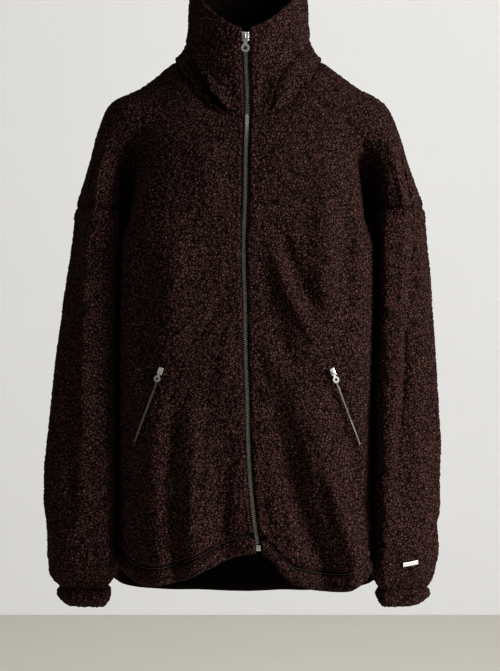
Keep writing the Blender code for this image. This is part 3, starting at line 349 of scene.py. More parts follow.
def collar(side, face, s, t):
    """s as on the body's neckline, t from the seam (0) to the top edge (1)."""
    s, t = np.broadcast_arrays(np.asarray(s, float), np.asarray(t, float))
    base = body(side, face, s, 0.0)
    half = curve(COLLAR, 1 if side < 0 else 2, t)
    deep = curve(COLLAR, 3 if face < 0 else 4, t)
    x, y = oval(s, half, deep)
    turn = np.interp(s, [0, 1, 2, 3], [0, 0.50, 0.68, 1.0]) * math.pi / 2
    z0, z1, z2 = COLLAR_TOP_Z
    if face < 0:
        top = z0 + (z1 - z0) * np.sin(turn) ** 1.6
        away = turn / math.pi                       # 0 front, 1/2 side, 1 back
    else:
        top = z2 + (z1 - z2) * np.sin(turn) ** 2
        away = 1 - turn / math.pi
    z = base[..., 2] + (top - base[..., 2]) * t
    # the wide collar slumps: it folds over itself along a line that rises
    # from the zip to the sides, and steps back below it
    line = curve(COLLAR_LINE, 1 if side < 0 else 2, away)
    strength = ease((away - 0.04) / 0.07) * (1 - 0.92 * ease((away - 0.26) / 0.16))
    strength = strength * (1.0 if side < 0 else 1.25)
    u = (t - line) / ROLL_STEP
    over = ease(u + 0.5)
    roll = over * np.exp(-((np.maximum(u, 0) / 3.2) ** 2))
    trough = (1 - over) * np.exp(-((np.minimum(u, 0) / 1.9) ** 2)) * ease(t / 0.14)
    h = strength * (ROLL_OUT * roll - ROLL_DEPTH * trough)
    nx, ny = x / half, y / deep
    size = np.maximum(np.hypot(nx, ny), 1e-6)
    x, y = x + h * nx / size, y + h * ny / size
    lean = front_x(z) * (1 - ease(s / 1.5)) if face < 0 else 0.0
    out = np.stack([side * x + lean, face * y, z], -1)
    m = ease(t / 0.12)[..., None]
    low = base.copy()
    low[..., 2] = z
    return low * (1 - m) + out * m


def centre_path(z_high, z_low, step):
    """Points down the zip's line: x, y of the cloth's outside, z."""
    rows = []
    for t in np.linspace(1, 0, 30):
        rows.append(collar(+1, -1, np.array(0.0), np.array(t)))
    for r in list(np.linspace(0, 1, 30)[1:]) + list(np.linspace(1, 2, 60)[1:]):
        rows.append(body(+1, -1, np.array(0.0), np.array(r)))
    rows = np.array(rows)
    z = np.linspace(z_high, z_low, max(2, int(round(abs(z_high - z_low) / step)) + 1))
    y = np.interp(-z, -rows[:, 2], rows[:, 1])
    return [(float(front_x(k)), float(v), float(k)) for k, v in zip(z, y)]


# --------------------------------------------- creases, listed one by one (in mm)
# points of a bent line, half width, height out (+) or in (-). On the fronts
# and back: x on its own side and z. Each is uneven along its length.
FRONT_LEFT_CREASES = [       # wearer's left, +X
    ([(18, -120), (34, -150), (60, -172)], 9, -2.2),
    ([(150, -215), (128, -196), (96, -186)], 10, -3.2),
    ([(158, -232), (140, -262), (122, -318)], 9, -3.4),
    ([(150, -205), (120, -214), (84, -240)], 12, 2.4),
    ([(50, -235), (78, -305), (112, -370)], 12, 3.4),
    ([(44, -330), (78, -372), (112, -402)], 8, -3.0),
    ([(92, -300), (98, -340), (118, -380)], 7, 2.0),
    ([(16, -372), (34, -408), (58, -436)], 10, 2.6),
    ([(14, -405), (30, -452), (44, -520)], 8, -3.2),
    ([(66, -470), (84, -540), (104, -612)], 8, 3.0),
    ([(98, -560), (112, -618), (130, -670)], 9, -3.4),
    ([(40, -560), (58, -620), (74, -690)], 9, 2.8),
    ([(120, -470), (132, -540), (140, -600)], 8, 2.4),
    ([(20, -590), (32, -640), (40, -700)], 9, -2.6),
    ([(140, -330), (148, -392), (152, -450)], 9, 2.8),
    ([(128, -250), (130, -300), (134, -350)], 6, -2.2),
    ([(64, -208), (70, -262), (80, -300)], 8, 2.0),
    ([(76, -110), (92, -140), (124, -160)], 11, -2.0),
    ([(30, -205), (44, -232), (66, -248)], 8, -2.0),
    ([(150, -610), (154, -650), (150, -690)], 8, -2.4),
]
FRONT_RIGHT_CREASES = [      # wearer's right, -X
    ([(20, -108), (40, -134), (66, -150)], 10, -2.2),
    ([(152, -210), (124, -200), (88, -206)], 11, -3.0),
    ([(156, -228), (138, -270), (130, -330)], 9, -3.4),
    ([(16, -210), (30, -262), (36, -330)], 10, 2.4),
    ([(22, -300), (46, -352), (88, -388)], 10, -3.0),
    ([(60, -340), (96, -376), (128, -396)], 8, 2.6),
    ([(14, -352), (28, -410), (34, -470)], 9, 3.0),
    ([(44, -420), (56, -500), (60, -590)], 9, -3.2),
    ([(96, -470), (104, -540), (110, -610)], 8, -3.2),
    ([(70, -520), (76, -600), (84, -680)], 8, 2.8),
    ([(130, -520), (136, -590), (138, -650)], 9, 2.6),
    ([(16, -520), (26, -590), (30, -660)], 8, -2.8),
    ([(110, -600), (116, -650), (118, -700)], 8, -2.6),
    ([(86, -250), (98, -300), (116, -340)], 9, 2.0),
    ([(134, -350), (140, -420), (140, -480)], 9, -2.8),
    ([(150, -440), (154, -500), (154, -560)], 8, 2.4),
    ([(52, -180), (76, -214), (112, -232)], 9, -2.2),
]
BACK_LEFT_CREASES = [
    ([(24, -80), (60, -104), (110, -112)], 12, -2.4),
    ([(150, -220), (120, -232), (74, -270)], 11, -3.2),
    ([(156, -240), (136, -292), (122, -370)], 9, -3.4),
    ([(60, -230), (70, -320), (72, -400)], 10, 2.4),
    ([(20, -420), (34, -520), (40, -610)], 9, -3.2),
    ([(100, -470), (108, -560), (120, -650)], 9, -3.0),
    ([(60, -560), (66, -640), (74, -730)], 10, 2.8),
    ([(136, -430), (142, -520), (146, -620)], 9, 2.6),
    ([(8, -180), (18, -260), (22, -330)], 9, -2.0),
    ([(44, -640), (50, -690), (54, -750)], 8, -2.6),
    ([(130, -340), (96, -366), (60, -372)], 12, 2.2),
]
BACK_RIGHT_CREASES = [
    ([(20, -96), (56, -112), (98, -108)], 12, -2.2),
    ([(152, -222), (116, -240), (80, -290)], 11, -3.0),
    ([(158, -250), (142, -310), (134, -390)], 9, -3.4),
    ([(88, -280), (94, -360), (92, -450)], 9, -2.8),
    ([(24, -440), (30, -520), (28, -600)], 8, -3.0),
    ([(84, -500), (92, -600), (100, -700)], 10, 3.0),
    ([(110, -540), (118, -620), (124, -700)], 9, -2.8),
    ([(48, -600), (52, -670), (50, -750)], 9, 2.6),
    ([(120, -360), (84, -380), (40, -376)], 12, 2.2),
    ([(148, -480), (152, -560), (152, -640)], 8, 2.4),
]
# on the sleeves: mm round from beside the body (0) by the front (1 unit is
# 100 mm: 100 front, 200 outside, 300 back) and z
SLEEVE_LEFT_CREASES = [      # wearer's left, +X
    ([(106, -104), (106, -150), (103, -232)], 9, 6.0),
    ([(128, -108), (130, -150), (127, -236)], 11, -8.0),
    ([(186, -128), (190, -220), (184, -330)], 14, 4.0),
    ([(92, -200), (122, -222), (178, -230)], 11, -2.8),
    ([(60, -240), (96, -262), (140, -268)], 10, -2.8),
    ([(128, -235), (134, -300), (130, -372)], 9, 2.6),
    ([(70, -330), (100, -352), (136, -360)], 10, 2.4),
    ([(150, -300), (160, -380), (156, -450)], 8, -3.0),
    ([(60, -420), (92, -452), (126, -458)], 10, -3.0),
    ([(98, -480), (110, -540), (112, -600)], 10, 3.0),
    ([(150, -470), (176, -540), (184, -600)], 10, 2.8),
    ([(66, -560), (100, -596), (150, -610)], 9, -3.4),
    ([(130, -600), (170, -640), (214, -650)], 9, -3.6),
    ([(50, -648), (96, -676), (140, -682)], 9, 3.0),
    ([(120, -690), (160, -706), (206, -704)], 8, -3.2),
    ([(210, -300), (222, -400), (218, -500)], 10, -2.6),
    ([(262, -260), (250, -340), (256, -440)], 10, 2.8),
    ([(320, -300), (336, -420), (330, -540)], 10, -3.0),
    ([(280, -520), (300, -580), (340, -610)], 10, -3.2),
    ([(250, -620), (300, -650), (350, -656)], 9, 3.0),
    ([(290, -690), (330, -700), (372, -696)], 8, -3.0),
    ([(360, -380), (370, -480), (366, -600)], 9, 2.6),
]
SLEEVE_RIGHT_CREASES = [     # wearer's right, -X
    ([(108, -106), (108, -150), (104, -232)], 9, 5.0),
    ([(130, -110), (131, -150), (128, -236)], 11, -7.0),
    ([(182, -132), (190, -230), (186, -350)], 14, 4.0),
    ([(88, -196), (124, -218), (172, -222)], 11, -2.6),
    ([(62, -236), (100, -262), (146, -276)], 10, -3.0),
    ([(110, -300), (118, -380), (110, -440)], 10, 2.6),
    ([(150, -270), (162, -350), (160, -430)], 8, -3.0),
    ([(64, -400), (96, -430), (132, -440)], 10, -2.8),
    ([(140, -450), (160, -520), (166, -590)], 10, 2.8),
    ([(86, -500), (98, -560), (96, -620)], 9, -2.8),
    ([(70, -600), (112, -634), (164, -640)], 9, -3.4),
    ([(176, -560), (206, -620), (232, -650)], 10, -3.2),
    ([(60, -662), (104, -690), (150, -694)], 9, 2.8),
    ([(150, -684), (190, -706), (226, -700)], 8, -3.0),
    ([(214, -320), (224, -420), (214, -520)], 10, -2.6),
    ([(268, -280), (258, -380), (266, -470)], 10, 2.8),
    ([(326, -330), (338, -440), (328, -560)], 10, -3.0),
    ([(276, -560), (310, -610), (350, -620)], 10, -3.0),
    ([(262, -660), (306, -680), (356, -684)], 9, 2.8),
    ([(364, -420), (372, -520), (366, -620)], 9, 2.6),
]
# on the collar: mm round from the front edge and mm up from the neckline seam
COLLAR_LEFT_CREASES = [
    ([(14, 30), (44, 62), (92, 84)], 7, -2.4),
    ([(20, 66), (60, 96), (120, 104)], 7, 2.0),
    ([(120, 40), (160, 58), (210, 60)], 9, -2.6),
    ([(170, 84), (220, 96), (262, 92)], 9, 2.0),
    ([(230, 30), (262, 48), (300, 50)], 9, -2.4),
]
COLLAR_RIGHT_CREASES = [
    ([(12, 22), (40, 50), (80, 72)], 7, -2.4),
    ([(24, 74), (64, 92), (110, 96)], 8, 2.0),
    ([(110, 34), (150, 52), (206, 56)], 9, -2.6),
    ([(180, 90), (224, 98), (270, 90)], 9, 2.0),
]


def creases(table, u, v):
    """Soft ridges and troughs along bent lines, uneven along their length."""
    total = np.zeros(np.broadcast(u, v).shape)
    for k, (pts, wide, out) in enumerate(table):
        (ax, az), (bx, bz), (cx, cz) = pts
        lo_u, hi_u = min(ax, bx, cx) - 3 * wide, max(ax, bx, cx) + 3 * wide
        lo_v, hi_v = min(az, bz, cz) - 3 * wide, max(az, bz, cz) + 3 * wide
        near = (u > lo_u) & (u < hi_u) & (v > lo_v) & (v < hi_v)
        if not near.any():
            continue
        x, z = u[near], v[near]
        q = np.linspace(0, 1, 13)
        lx = (1 - q) ** 2 * ax + 2 * q * (1 - q) * (2 * bx - (ax + cx) / 2) + q * q * cx
        lz = (1 - q) ** 2 * az + 2 * q * (1 - q) * (2 * bz - (az + cz) / 2) + q * q * cz
        best = np.full(x.shape, 1e9)
        along = np.zeros(x.shape)
        for i in range(12):
            dx, dz = lx[i + 1] - lx[i], lz[i + 1] - lz[i]
            t = np.clip(((x - lx[i]) * dx + (z - lz[i]) * dz) / (dx * dx + dz * dz), 0, 1)
            d = np.hypot(x - lx[i] - t * dx, z - lz[i] - t * dz)
            hit = d < best
            best = np.where(hit, d, best)
            along = np.where(hit, (i + t) / 12, along)
        w = wide * (0.85 + 0.3 * np.sin(2.3 * math.pi * along + k * 1.7))
        deep = out * (0.8 + 0.25 * np.sin(3.1 * math.pi * along + k * 2.3))
        total[near] += deep * np.exp(-((best / w) ** 2)) * np.sin(math.pi * along) ** 0.6
    return total


def body(side, face, s, r):
    """The outside of the cloth with the CAD's folds."""
    x, y, z = body_base(side, face, s, r)
    folds = FRONT_FOLDS if face < 0 else BACK_FOLDS
    h = fold_height(folds, side * x, z)
    h = h * ease((1 - np.clip(s, 0, 1)) / 0.25) * ease(np.clip(s, 0, 1) / 0.10)
    y = y + h
    lean = front_x(z) if face < 0 else 0.0
    pull = 1 - ease(np.clip(s, 0, 1) / 0.9)
    return np.stack([side * x + lean * pull, face * y, z], -1)


def edge_shift(p, side):
    """Opens the front edges either side of the zip chain."""
    out = p.copy()
    x = np.abs(p[..., 0] - front_x(p[..., 2]))
    out[..., 0] += side * FRONT_EDGE * np.clip(1 - x / 24.0, 0, 1)
    return out


# -------------------------------------------------------------- pile pattern
def number(c, seed, k):
    """A repeatable number from 0 to 1 for each cell of a grid."""
    h = (c[:, 0] * 73856093) ^ (c[:, 1] * 19349663) ^ (c[:, 2] * 83492791)
    h = (h + seed * 7919 + k * 104729) & 0xFFFFFFFF
    h = (h ^ (h >> 16)) * 0x45D9F3B & 0xFFFFFFFF
    h = (h ^ (h >> 16)) * 0x45D9F3B & 0xFFFFFFFF
    h = h ^ (h >> 16)
    return (h & 0xFFFFFF) / float(0xFFFFFF)


def curls(p, size, seed):
    """Nearest and second nearest scattered point to each place, in cells, and
    the nearest one's own number."""
    q = p / size
    base = np.floor(q).astype(np.int64)
    f1, f2 = np.full(len(p), 9.0), np.full(len(p), 9.0)
    own = np.zeros(len(p))
    for dx in (-1, 0, 1):
        for dy in (-1, 0, 1):
            for dz in (-1, 0, 1):
                c = base + np.array([dx, dy, dz])
                d = np.sqrt(
                    (c[:, 0] + number(c, seed, 1) - q[:, 0]) ** 2
                    + (c[:, 1] + number(c, seed, 2) - q[:, 1]) ** 2
                    + (c[:, 2] + number(c, seed, 3) - q[:, 2]) ** 2)
                first = d < f1
                f2 = np.where(first, f1, np.minimum(f2, d))
                own = np.where(first, number(c, seed, 4), own)
                f1 = np.minimum(f1, d)
    return f1, f2, own


def pile(p, seed):
    """Height (mm) of the pile's clumps at points in mm, and how open each
    place is, 0 in a gap between clumps to 1 on a tip."""
    warp = np.stack([
        np.sin(p[:, 2] / 5.1 + 1.7 * np.sin(p[:, 0] / 13.0)),
        np.sin(p[:, 0] / 6.3 + 1.3 * np.sin(p[:, 2] / 11.0)),
        np.sin(p[:, 1] / 5.7 + p[:, 0] / 9.0)], -1)
    q = p + 1.1 * warp
    q = q * np.array([1.0, 1.0, 0.82])
    f1, f2, own = curls(q, PILE_SIZE, seed)
    dome = np.clip(1 - (f1 / 0.85) ** 2, 0, 1)
    gap = ease((f2 - f1) / 0.42)
    tip = 0.50 * dome + 0.50 * gap
    tip = tip * (0.72 + 0.28 * own)
    # the second value drives the colour: lowest in the gaps between clumps, where the material paints
    # shade; each clump's own random tone is mixed in
    return tip * PILE_HIGH - 0.72 * PILE_HIGH, 0.45 + 0.55 * tip


PILE_SIZE, PILE_HIGH = 5.0, 2.5
# value of the shell's inside: the material paints it dark, partly for the wrong side's darker knit and
# partly as painted shade inside the garment
INSIDE_TIP = 0.12


# -------------------------------------------------------------- cloth shells
def even(fn, lo, hi, n):
    """n + 1 parameter values that are evenly spaced along fn's curve."""
    t = np.linspace(lo, hi, 500)
    p = fn(t)
    d = np.concatenate([[0], np.cumsum(np.linalg.norm(np.diff(p, axis=0), axis=1))])
    return np.interp(np.linspace(0, d[-1], n + 1), d, t)


def along(p, axis):
    """Length along the grid lines from their first point."""
    step = np.linalg.norm(np.diff(p, axis=axis), axis=-1)
    out = np.cumsum(step, axis=axis)
    pad = np.zeros_like(np.take(out, [0], axis=axis))
    return np.concatenate([pad, out], axis=axis)


def grid_faces(mask, wrap, step):
    """Quads of a grid's cells whose four corners exist, as grid indices."""
    rows, cols = mask.shape
    i = np.arange(0, rows - 1, step)
    j = np.arange(0, cols if wrap else cols - 1, step)
    ii, jj = np.meshgrid(i, j, indexing="ij")
    i1, j1 = ii + step, (jj + step) % cols if wrap else jj + step
    ok = mask[ii, jj] & mask[i1, jj] & mask[i1, j1] & mask[ii, j1]
    quad = np.stack([ii * cols + jj, ii * cols + j1, i1 * cols + j1, i1 * cols + jj], -1)
    return quad[ok]


def point_normals(p, quads):
    """Smooth normals of a grid's points."""
    flat = p.reshape(-1, 3)
    a, b, c, d = (flat[quads[:, k]] for k in range(4))
    n = np.cross(c - a, d - b)
    total = np.zeros_like(flat)
    for k in range(4):
        np.add.at(total, quads[:, k], n)
    size = np.linalg.norm(total, axis=1, keepdims=True)
    return total / np.where(size < 1e-12, 1, size)


def shell(name, p, mask, wrap, sink, thick, lift, tip, outward, material, step=4):
    """A closed thin shell. p: grid of the outside in mm. sink: how far each
    point is drawn in at seams and edges. lift: the pile's height."""
    rows, cols = mask.shape
    fine = grid_faces(mask, wrap, 1)
    n = point_normals(p, fine)
    flat = p.reshape(-1, 3)
    use = mask.reshape(-1)
    way = np.einsum("ij,ij->i", n[use], flat[use] - outward.reshape(-1, 3)[use]).sum()
    if way < 0:
        n = -n
        fine = fine[:, ::-1]
    coarse = grid_faces(mask, wrap, step)
    if way < 0:
        coarse = coarse[:, ::-1]
    outer = flat + n * (lift - sink).reshape(-1, 1)
    inner = flat - n * (thick.reshape(-1, 1))
    index = np.full(len(flat), -1)
    index[use] = np.arange(use.sum())
    inner_ids = np.unique(coarse)
    inner_index = np.full(len(flat), -1)
    inner_index[inner_ids] = use.sum() + np.arange(len(inner_ids))
    verts = np.concatenate([outer[use], inner[inner_ids]]) * MM
    faces = index[fine].tolist() + inner_index[coarse[:, ::-1]].tolist()
    edges = {}
    for f in coarse.tolist():
        for k in range(4):
            edges[(f[k], f[(k + 1) % 4])] = True
    for a, b in edges:
        if (b, a) in edges:
            continue
        ia, ja, ib, jb = a // cols, a % cols, b // cols, b % cols
        if wrap and abs(ja - jb) > step:
            if ja < jb:
                ja += cols
            else:
                jb += cols
        ring = []
        for k in range(step + 1):
            i = ib + (ia - ib) * k // step
            j = (jb + (ja - jb) * k // step) % cols
            ring.append(int(index[i * cols + j]))
        ring += [int(inner_index[a]), int(inner_index[b])]
        faces.append(ring)
    mesh = bpy.data.meshes.new(name)
    mesh.from_pydata(verts.tolist(), [], faces)
    mesh.update()
    data = mesh.attributes.new("tip", "FLOAT", "POINT")
    value = np.concatenate([tip.reshape(-1)[use], np.full(len(inner_ids), INSIDE_TIP)])
    data.data.foreach_set("value", value.astype(np.float32))
    mesh.materials.append(material)
    mesh.shade_smooth()
    ob = bpy.data.objects.new(name, mesh)
    bpy.context.scene.collection.objects.link(ob)
    return ob


def rounded(d, radius):
    """How far a free edge's outside is drawn in at distance d from it."""
    k = np.clip(radius - d, 0, radius)
    return radius - np.sqrt(np.maximum(radius * radius - k * k, 0))


def seam(d, deep=SEAM_ROLL, wide=SEAM_WIDE):
    return deep * np.exp(-((d / wide) ** 2))


def arm_middle(side, z):
    table = SLEEVE_LEFT_SIDE if side < 0 else SLEEVE_RIGHT_SIDE
    return side * (curve(table, 1, z) + curve(table, 2, z)) / 2, curve(table, 3, z)


def arm_creases(p, side, around, table):
    """Moves points out from the arm's middle by the sleeve's creases."""
    h = creases(table, around * 100.0, p[..., 2])
    h = h * (1 - ease((0.35 - np.minimum(around, 4 - around)) / 0.3))
    if side > 0:                       # the long crease outside the front ridge
        z = p[..., 2]
        u = side * p[..., 0] - curve(SLEEVE_STEP, 2, z) - 7 - 2 * np.sin(z / 41.0)
        run = np.sin(np.pi * np.clip((z + 175) / -430.0, 0, 1)) ** 0.5
        h = h - np.where((around > 0.3) & (around < 1.95),
                         7.5 * run * np.exp(-((u / 4.8) ** 2)), 0.0)
    mid, y_c = arm_middle(side, p[..., 2])
    nx, ny = p[..., 0] - mid, p[..., 1] - y_c
    size = np.maximum(np.hypot(nx, ny), 1e-6)
    out = p.copy()
    out[..., 0] += h * nx / size
    out[..., 1] += h * ny / size
    return out


def half_grid(side, face, sizes):
    """Outside of one half of a front or the back: grid, mask, s and r."""
    nb, nc, nu, nl = sizes
    sb = even(lambda t: body(side, face, t, 1.15), 0, 1, nb)
    sc = even(lambda t: body(side, face, t, 0.93), 1, 3, nc)
    ru = even(lambda t: body(side, face, 0.8, t), 0, 1, nu)
    rl = even(lambda t: body(side, face, 0.4, t), 1, 2, nl)
    s = np.concatenate([sb, sc[1:]])
    r = np.concatenate([ru, rl[1:]])
    rr, ss = np.meshgrid(r, s, indexing="ij")
    mask = (np.arange(len(r))[:, None] <= nu) | (np.arange(len(s))[None, :] <= nb)
    p = body(side, face, ss, np.where(mask, rr, 1.0))
    return p, mask, ss, rr


def sinks(p, mask, nb, nu, centre):
    """How far the outside is drawn in along a half panel's edges."""
    across, down = along(p, 1), along(p, 0)
    top = np.arange(p.shape[0])[:, None] <= nu
    cap = np.arange(p.shape[1])[None, :] >= nb
    out = np.where(top, seam(across[:, -1:] - across), 0)                 # shoulder
    out = np.maximum(out, seam(down, 1.3, 3.4))                           # neckline
    out = np.maximum(out, np.where(cap & top, seam(down[nu:nu + 1] - down), 0))
    out = np.maximum(out, np.where(~top, seam(across[:, nb:nb + 1] - across), 0))
    d = down[-1:] - down
    hem = np.where(np.arange(p.shape[1])[None, :] <= nb, 1.0, 0.0)
    out = out + hem * rounded(d, 3.4)                                     # hem edge
    wave = 1 + 0.3 * np.sin(across / 31.0) * np.sin(across / 12.0 + 1.3)
    out = out + hem * 4.6 * wave * np.exp(-(((d - HEM_STITCH) / 4.4) ** 2))
    out = out - hem * 4.2 * wave * np.exp(-(((d - 12) / 9.0) ** 2))
    out = out - hem * 1.8 * np.exp(-(((d - 34) / 6.0) ** 2))
    if centre:
        out = out + rounded(across, 2.4)
    return out, d, hem


def hem_thick(d, hem):
    return 3.4 + 2.6 * hem * ease((HEM_STITCH + 2 - d) / 4.0)


def tucked(p, sink, way):
    """Adds four rows past the first one, drawn in under the neighbour."""
    rows, extra = [], []
    for k in (4, 3, 2, 1):
        q = p[0].copy()
        q[:, 2] += way * 0.9 * k
        rows.append(q)
        extra.append(sink[0] + 0.25 * k)
    return np.concatenate([np.array(rows), p]), np.concatenate([np.array(extra), sink])


def front(name, node, side, table, material, seed):
    nb, nc, nu, nl = 124, 96, 104, 252
    p, mask, ss, rr = half_grid(side, -1, (nb, nc, nu, nl))
    h = creases(table, side * p[..., 0], p[..., 2])
    h = h * ease((1 - np.clip(ss, 0, 1)) / 0.12) + 0 * h
    p[..., 1] -= h
    arm = SLEEVE_LEFT_CREASES if side > 0 else SLEEVE_RIGHT_CREASES
    p = np.where((ss > 1)[..., None], arm_creases(p, side, np.clip(ss - 1, 0, 2), arm), p)
    p = edge_shift(p, side)
    sink, d, hem = sinks(p, mask, nb, nu, True)
    lift, tip = pile(p.reshape(-1, 3), seed)
    lift = lift.reshape(mask.shape)
    # painted shade: the colour value is lowered where seams, the hem groove and the front edge draw the
    # cloth in
    tip = tip.reshape(mask.shape) * (1 - 0.17 * np.clip(sink, 0, 4.5))
    centre = p * np.array([0.25, 0, 1.0])
    centre[..., 0] = np.where(ss > 1, side * 205.0, 0)
    ob = shell(name, p, mask, False, sink, hem_thick(d, hem), lift, tip, centre, material)
    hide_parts(node)
    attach(ob, "garment")
    return ob


def back(material):
    nb, nc, nu, nl = 100, 76, 84, 212
    parts = []
    for side, table in ((-1, BACK_RIGHT_CREASES), (1, BACK_LEFT_CREASES)):
        p, mask, ss, rr = half_grid(side, 1, (nb, nc, nu, nl))
        h = creases(table, side * p[..., 0], p[..., 2])
        h = h * ease((1 - np.clip(ss, 0, 1)) / 0.12) * ease(np.abs(p[..., 0]) / 10.0)
        p[..., 1] += h
        arm = SLEEVE_LEFT_CREASES if side > 0 else SLEEVE_RIGHT_CREASES
        p = np.where((ss > 1)[..., None], arm_creases(p, side, np.clip(5 - ss, 2, 4), arm), p)
        sink, d, hem = sinks(p, mask, nb, nu, False)
        centre = p * 0
        centre[..., 2] = p[..., 2]
        centre[..., 0] = np.where(ss > 1, side * 205.0, 0)
        parts.append((p, mask, sink, d, hem, centre))
    a, b = parts
    join = lambda k: np.concatenate([a[k][:, ::-1], b[k][:, 1:]], axis=1)
    p, mask, sink, d, hem, centre = (join(k) for k in range(6))
    lift, tip = pile(p.reshape(-1, 3), 21)
    lift = lift.reshape(mask.shape)
    # painted shade: the colour value is lowered where seams and the hem groove draw the cloth in
    tip = tip.reshape(mask.shape) * (1 - 0.17 * np.clip(sink, 0, 4.5))
    ob = shell("cloth_back", p, mask, False, sink, hem_thick(d, hem), lift, tip, centre,
               material)
    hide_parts("back")
    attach(ob, "garment")
    return ob


def sleeve_shell(name, node, side, table, material, seed):
    na, nd = 216, 256
    a = even(lambda t: sleeve(side, np.mod(t, 4.0), 0.4), 0, 4, na)[:-1]
    q = even(lambda t: sleeve(side, 2.0, t), 0, 1, nd)
    qq, aa = np.meshgrid(q, a, indexing="ij")
    p = sleeve(side, aa, qq)
    p = arm_creases(p, side, aa, table)
    mid, y_c = arm_middle(side, p[..., 2])
    down = along(p, 0)
    sink = seam(down) + seam(down[-1:] - down, 1.2, 3.0)
    p, sink = tucked(p, sink, 1.0)
    qq = np.concatenate([np.repeat(qq[:1], 4, axis=0), qq])
    mid, y_c = (np.concatenate([np.repeat(v[:1], 4, axis=0), v]) for v in (mid, y_c))
    lift, tip = pile(p.reshape(-1, 3), seed)
    lift = lift.reshape(qq.shape)
    # painted shade: the colour value is lowered where the armhole and cuff seams draw the cloth in
    tip = tip.reshape(qq.shape) * (1 - 0.17 * np.clip(sink, 0, 4.5))
    centre = p.copy()
    centre[..., 0], centre[..., 1] = mid, y_c
    mask = np.ones(qq.shape, bool)
    ob = shell(name, p, mask, True, sink, np.full(qq.shape, 3.4), lift, tip, centre, material)
    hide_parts(node)
    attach(ob, "garment")
    return ob


def cuff_shell(name, node, side, material, seed):
    z_low = [c for c in CUFFS if c[0] == side][0][6]
    na, nd = 200, 16
    a = even(lambda t: sleeve(side, np.mod(t, 4.0), 1.0), 0, 4, na)[:-1]
    q = np.linspace(0, 1, nd + 1)
    qq, aa = np.meshgrid(q, a, indexing="ij")
    top = sleeve(side, aa, 1.0)
    centre = sleeve(side, np.array([0.0, 1, 2, 3]), np.ones(4)).mean(0)
    n = top - centre
    n[..., 2] = 0
    n = n / np.linalg.norm(n, axis=-1, keepdims=True)
    bulge = 5.0 * np.sin(math.pi * np.minimum(qq * 1.05, 1.0)) ** 0.6 - 2.0 * qq - 4.0 * qq ** 3
    bulge = bulge - 15.0 * qq ** 3 * np.maximum(n[..., 0] * side, 0)
    # elastic gathers, uneven round the wrist
    turn = aa * 100.0
    gather = np.sin(turn / 3.1 + 1.9 * np.sin(turn / 17.0)) * (
        0.7 + 0.4 * np.sin(turn / 29.0 + 1.0))
    bulge = bulge + 1.1 * gather * np.sin(math.pi * qq) ** 0.5
    p = top + n * bulge[..., None]
    p[..., 2] = top[..., 2] + (z_low - top[..., 2]) * qq
    down = along(p, 0)
    sink = seam(down, 1.0, 3.0) + rounded(down[-1:] - down, 2.4)
    p, sink = tucked(p, sink, 2.0)
    qq = np.concatenate([np.repeat(qq[:1], 4, axis=0), qq])
    lift, tip = pile(p.reshape(-1, 3), seed)
    lift, tip = lift.reshape(qq.shape) * 0.8, tip.reshape(qq.shape)
    # painted shade: the colour value is lowered at the cuff seam and its rounded edge
    tip = tip * (1 - 0.17 * np.clip(sink, 0, 4.5))
    mid = p.copy()
    mid[..., 0], mid[..., 1] = centre[0], centre[1]
    ob = shell(name, p, np.ones(qq.shape, bool), True, sink, np.full(qq.shape, 3.6), lift,
               tip, mid, material)
    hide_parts(node)
    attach(ob, "garment")
    return ob


def collar_shell(material):
    nq, nt = 88, 76
    s = even(lambda t: collar(1, -1, t, 0.6), 0, 3, nq)
    sb = even(lambda t: collar(1, 1, t, 0.6), 0, 3, nq)
    t = even(lambda v: collar(1, 1, np.full(v.shape, 1.5), v), 0, 1, nt)
    parts, rolls = [], []
    for side, face, cols in ((1, -1, s), (1, 1, sb[::-1]), (-1, 1, sb), (-1, -1, s[::-1])):
        tt, ss = np.meshgrid(t, cols, indexing="ij")
        p = collar(side, face, ss, tt)
        if face < 0:
            p = edge_shift(p, side)
        parts.append(p)
        turn = np.interp(ss, [0, 1, 2, 3], [0, 0.25, 0.34, 0.50])
        away = turn if face < 0 else 1 - turn
        fold = (tt - curve(COLLAR_LINE, 1 if side < 0 else 2, away)) * 140.0
        keep = ease((away - 0.03) / 0.04) * (1 - 0.9 * ease((away - 0.27) / 0.16))
        rolls.append(keep * (6.4 * np.exp(-(((fold + 3.4) / 3.0) ** 2))
                             - 2.8 * np.exp(-(((fold - 4.5) / 5.0) ** 2))))
    p = np.concatenate([parts[0]] + [q[:, 1:] for q in parts[1:]], axis=1)
    roll = np.concatenate([rolls[0]] + [q[:, 1:] for q in rolls[1:]], axis=1)
    turn, up = along(p, 1), along(p, 0)
    total = turn[:, -1:]
    h = creases(COLLAR_LEFT_CREASES, turn, up) + creases(
        COLLAR_RIGHT_CREASES, total - turn, up)
    top = up[-1:] - up
    h = h * ease(up / 14.0) * ease(turn / 12.0) * ease((total - turn) / 12.0)
    centre = p.copy()
    centre[..., 0] = 0
    centre[..., 1] = 0
    away = p - centre
    p = p + away / np.linalg.norm(away, axis=-1, keepdims=True) * h[..., None]
    sink = seam(up, 1.3, 3.4) + rounded(top, 2.6) + roll * ease(up / 10.0)
    sink = np.maximum(sink, np.maximum(rounded(turn, 2.4), rounded(total - turn, 2.4)))
    p, sink = tucked(p, sink, -1.0)
    h = sink
    centre = p * np.array([0, 0, 1.0])
    lift, tip = pile(p.reshape(-1, 3), 61)
    lift = lift.reshape(h.shape)
    # painted shade: the colour value is lowered at the neckline seam, under the roll's groove and at
    # the edges
    tip = tip.reshape(h.shape) * (1 - 0.17 * np.clip(sink, 0, 4.5))
    ob = shell("cloth_collar", p, np.ones(h.shape, bool), False, sink,
               np.full(h.shape, 3.6), lift, tip, centre, material)
    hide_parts("collar")
    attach(ob, "garment")
    return ob


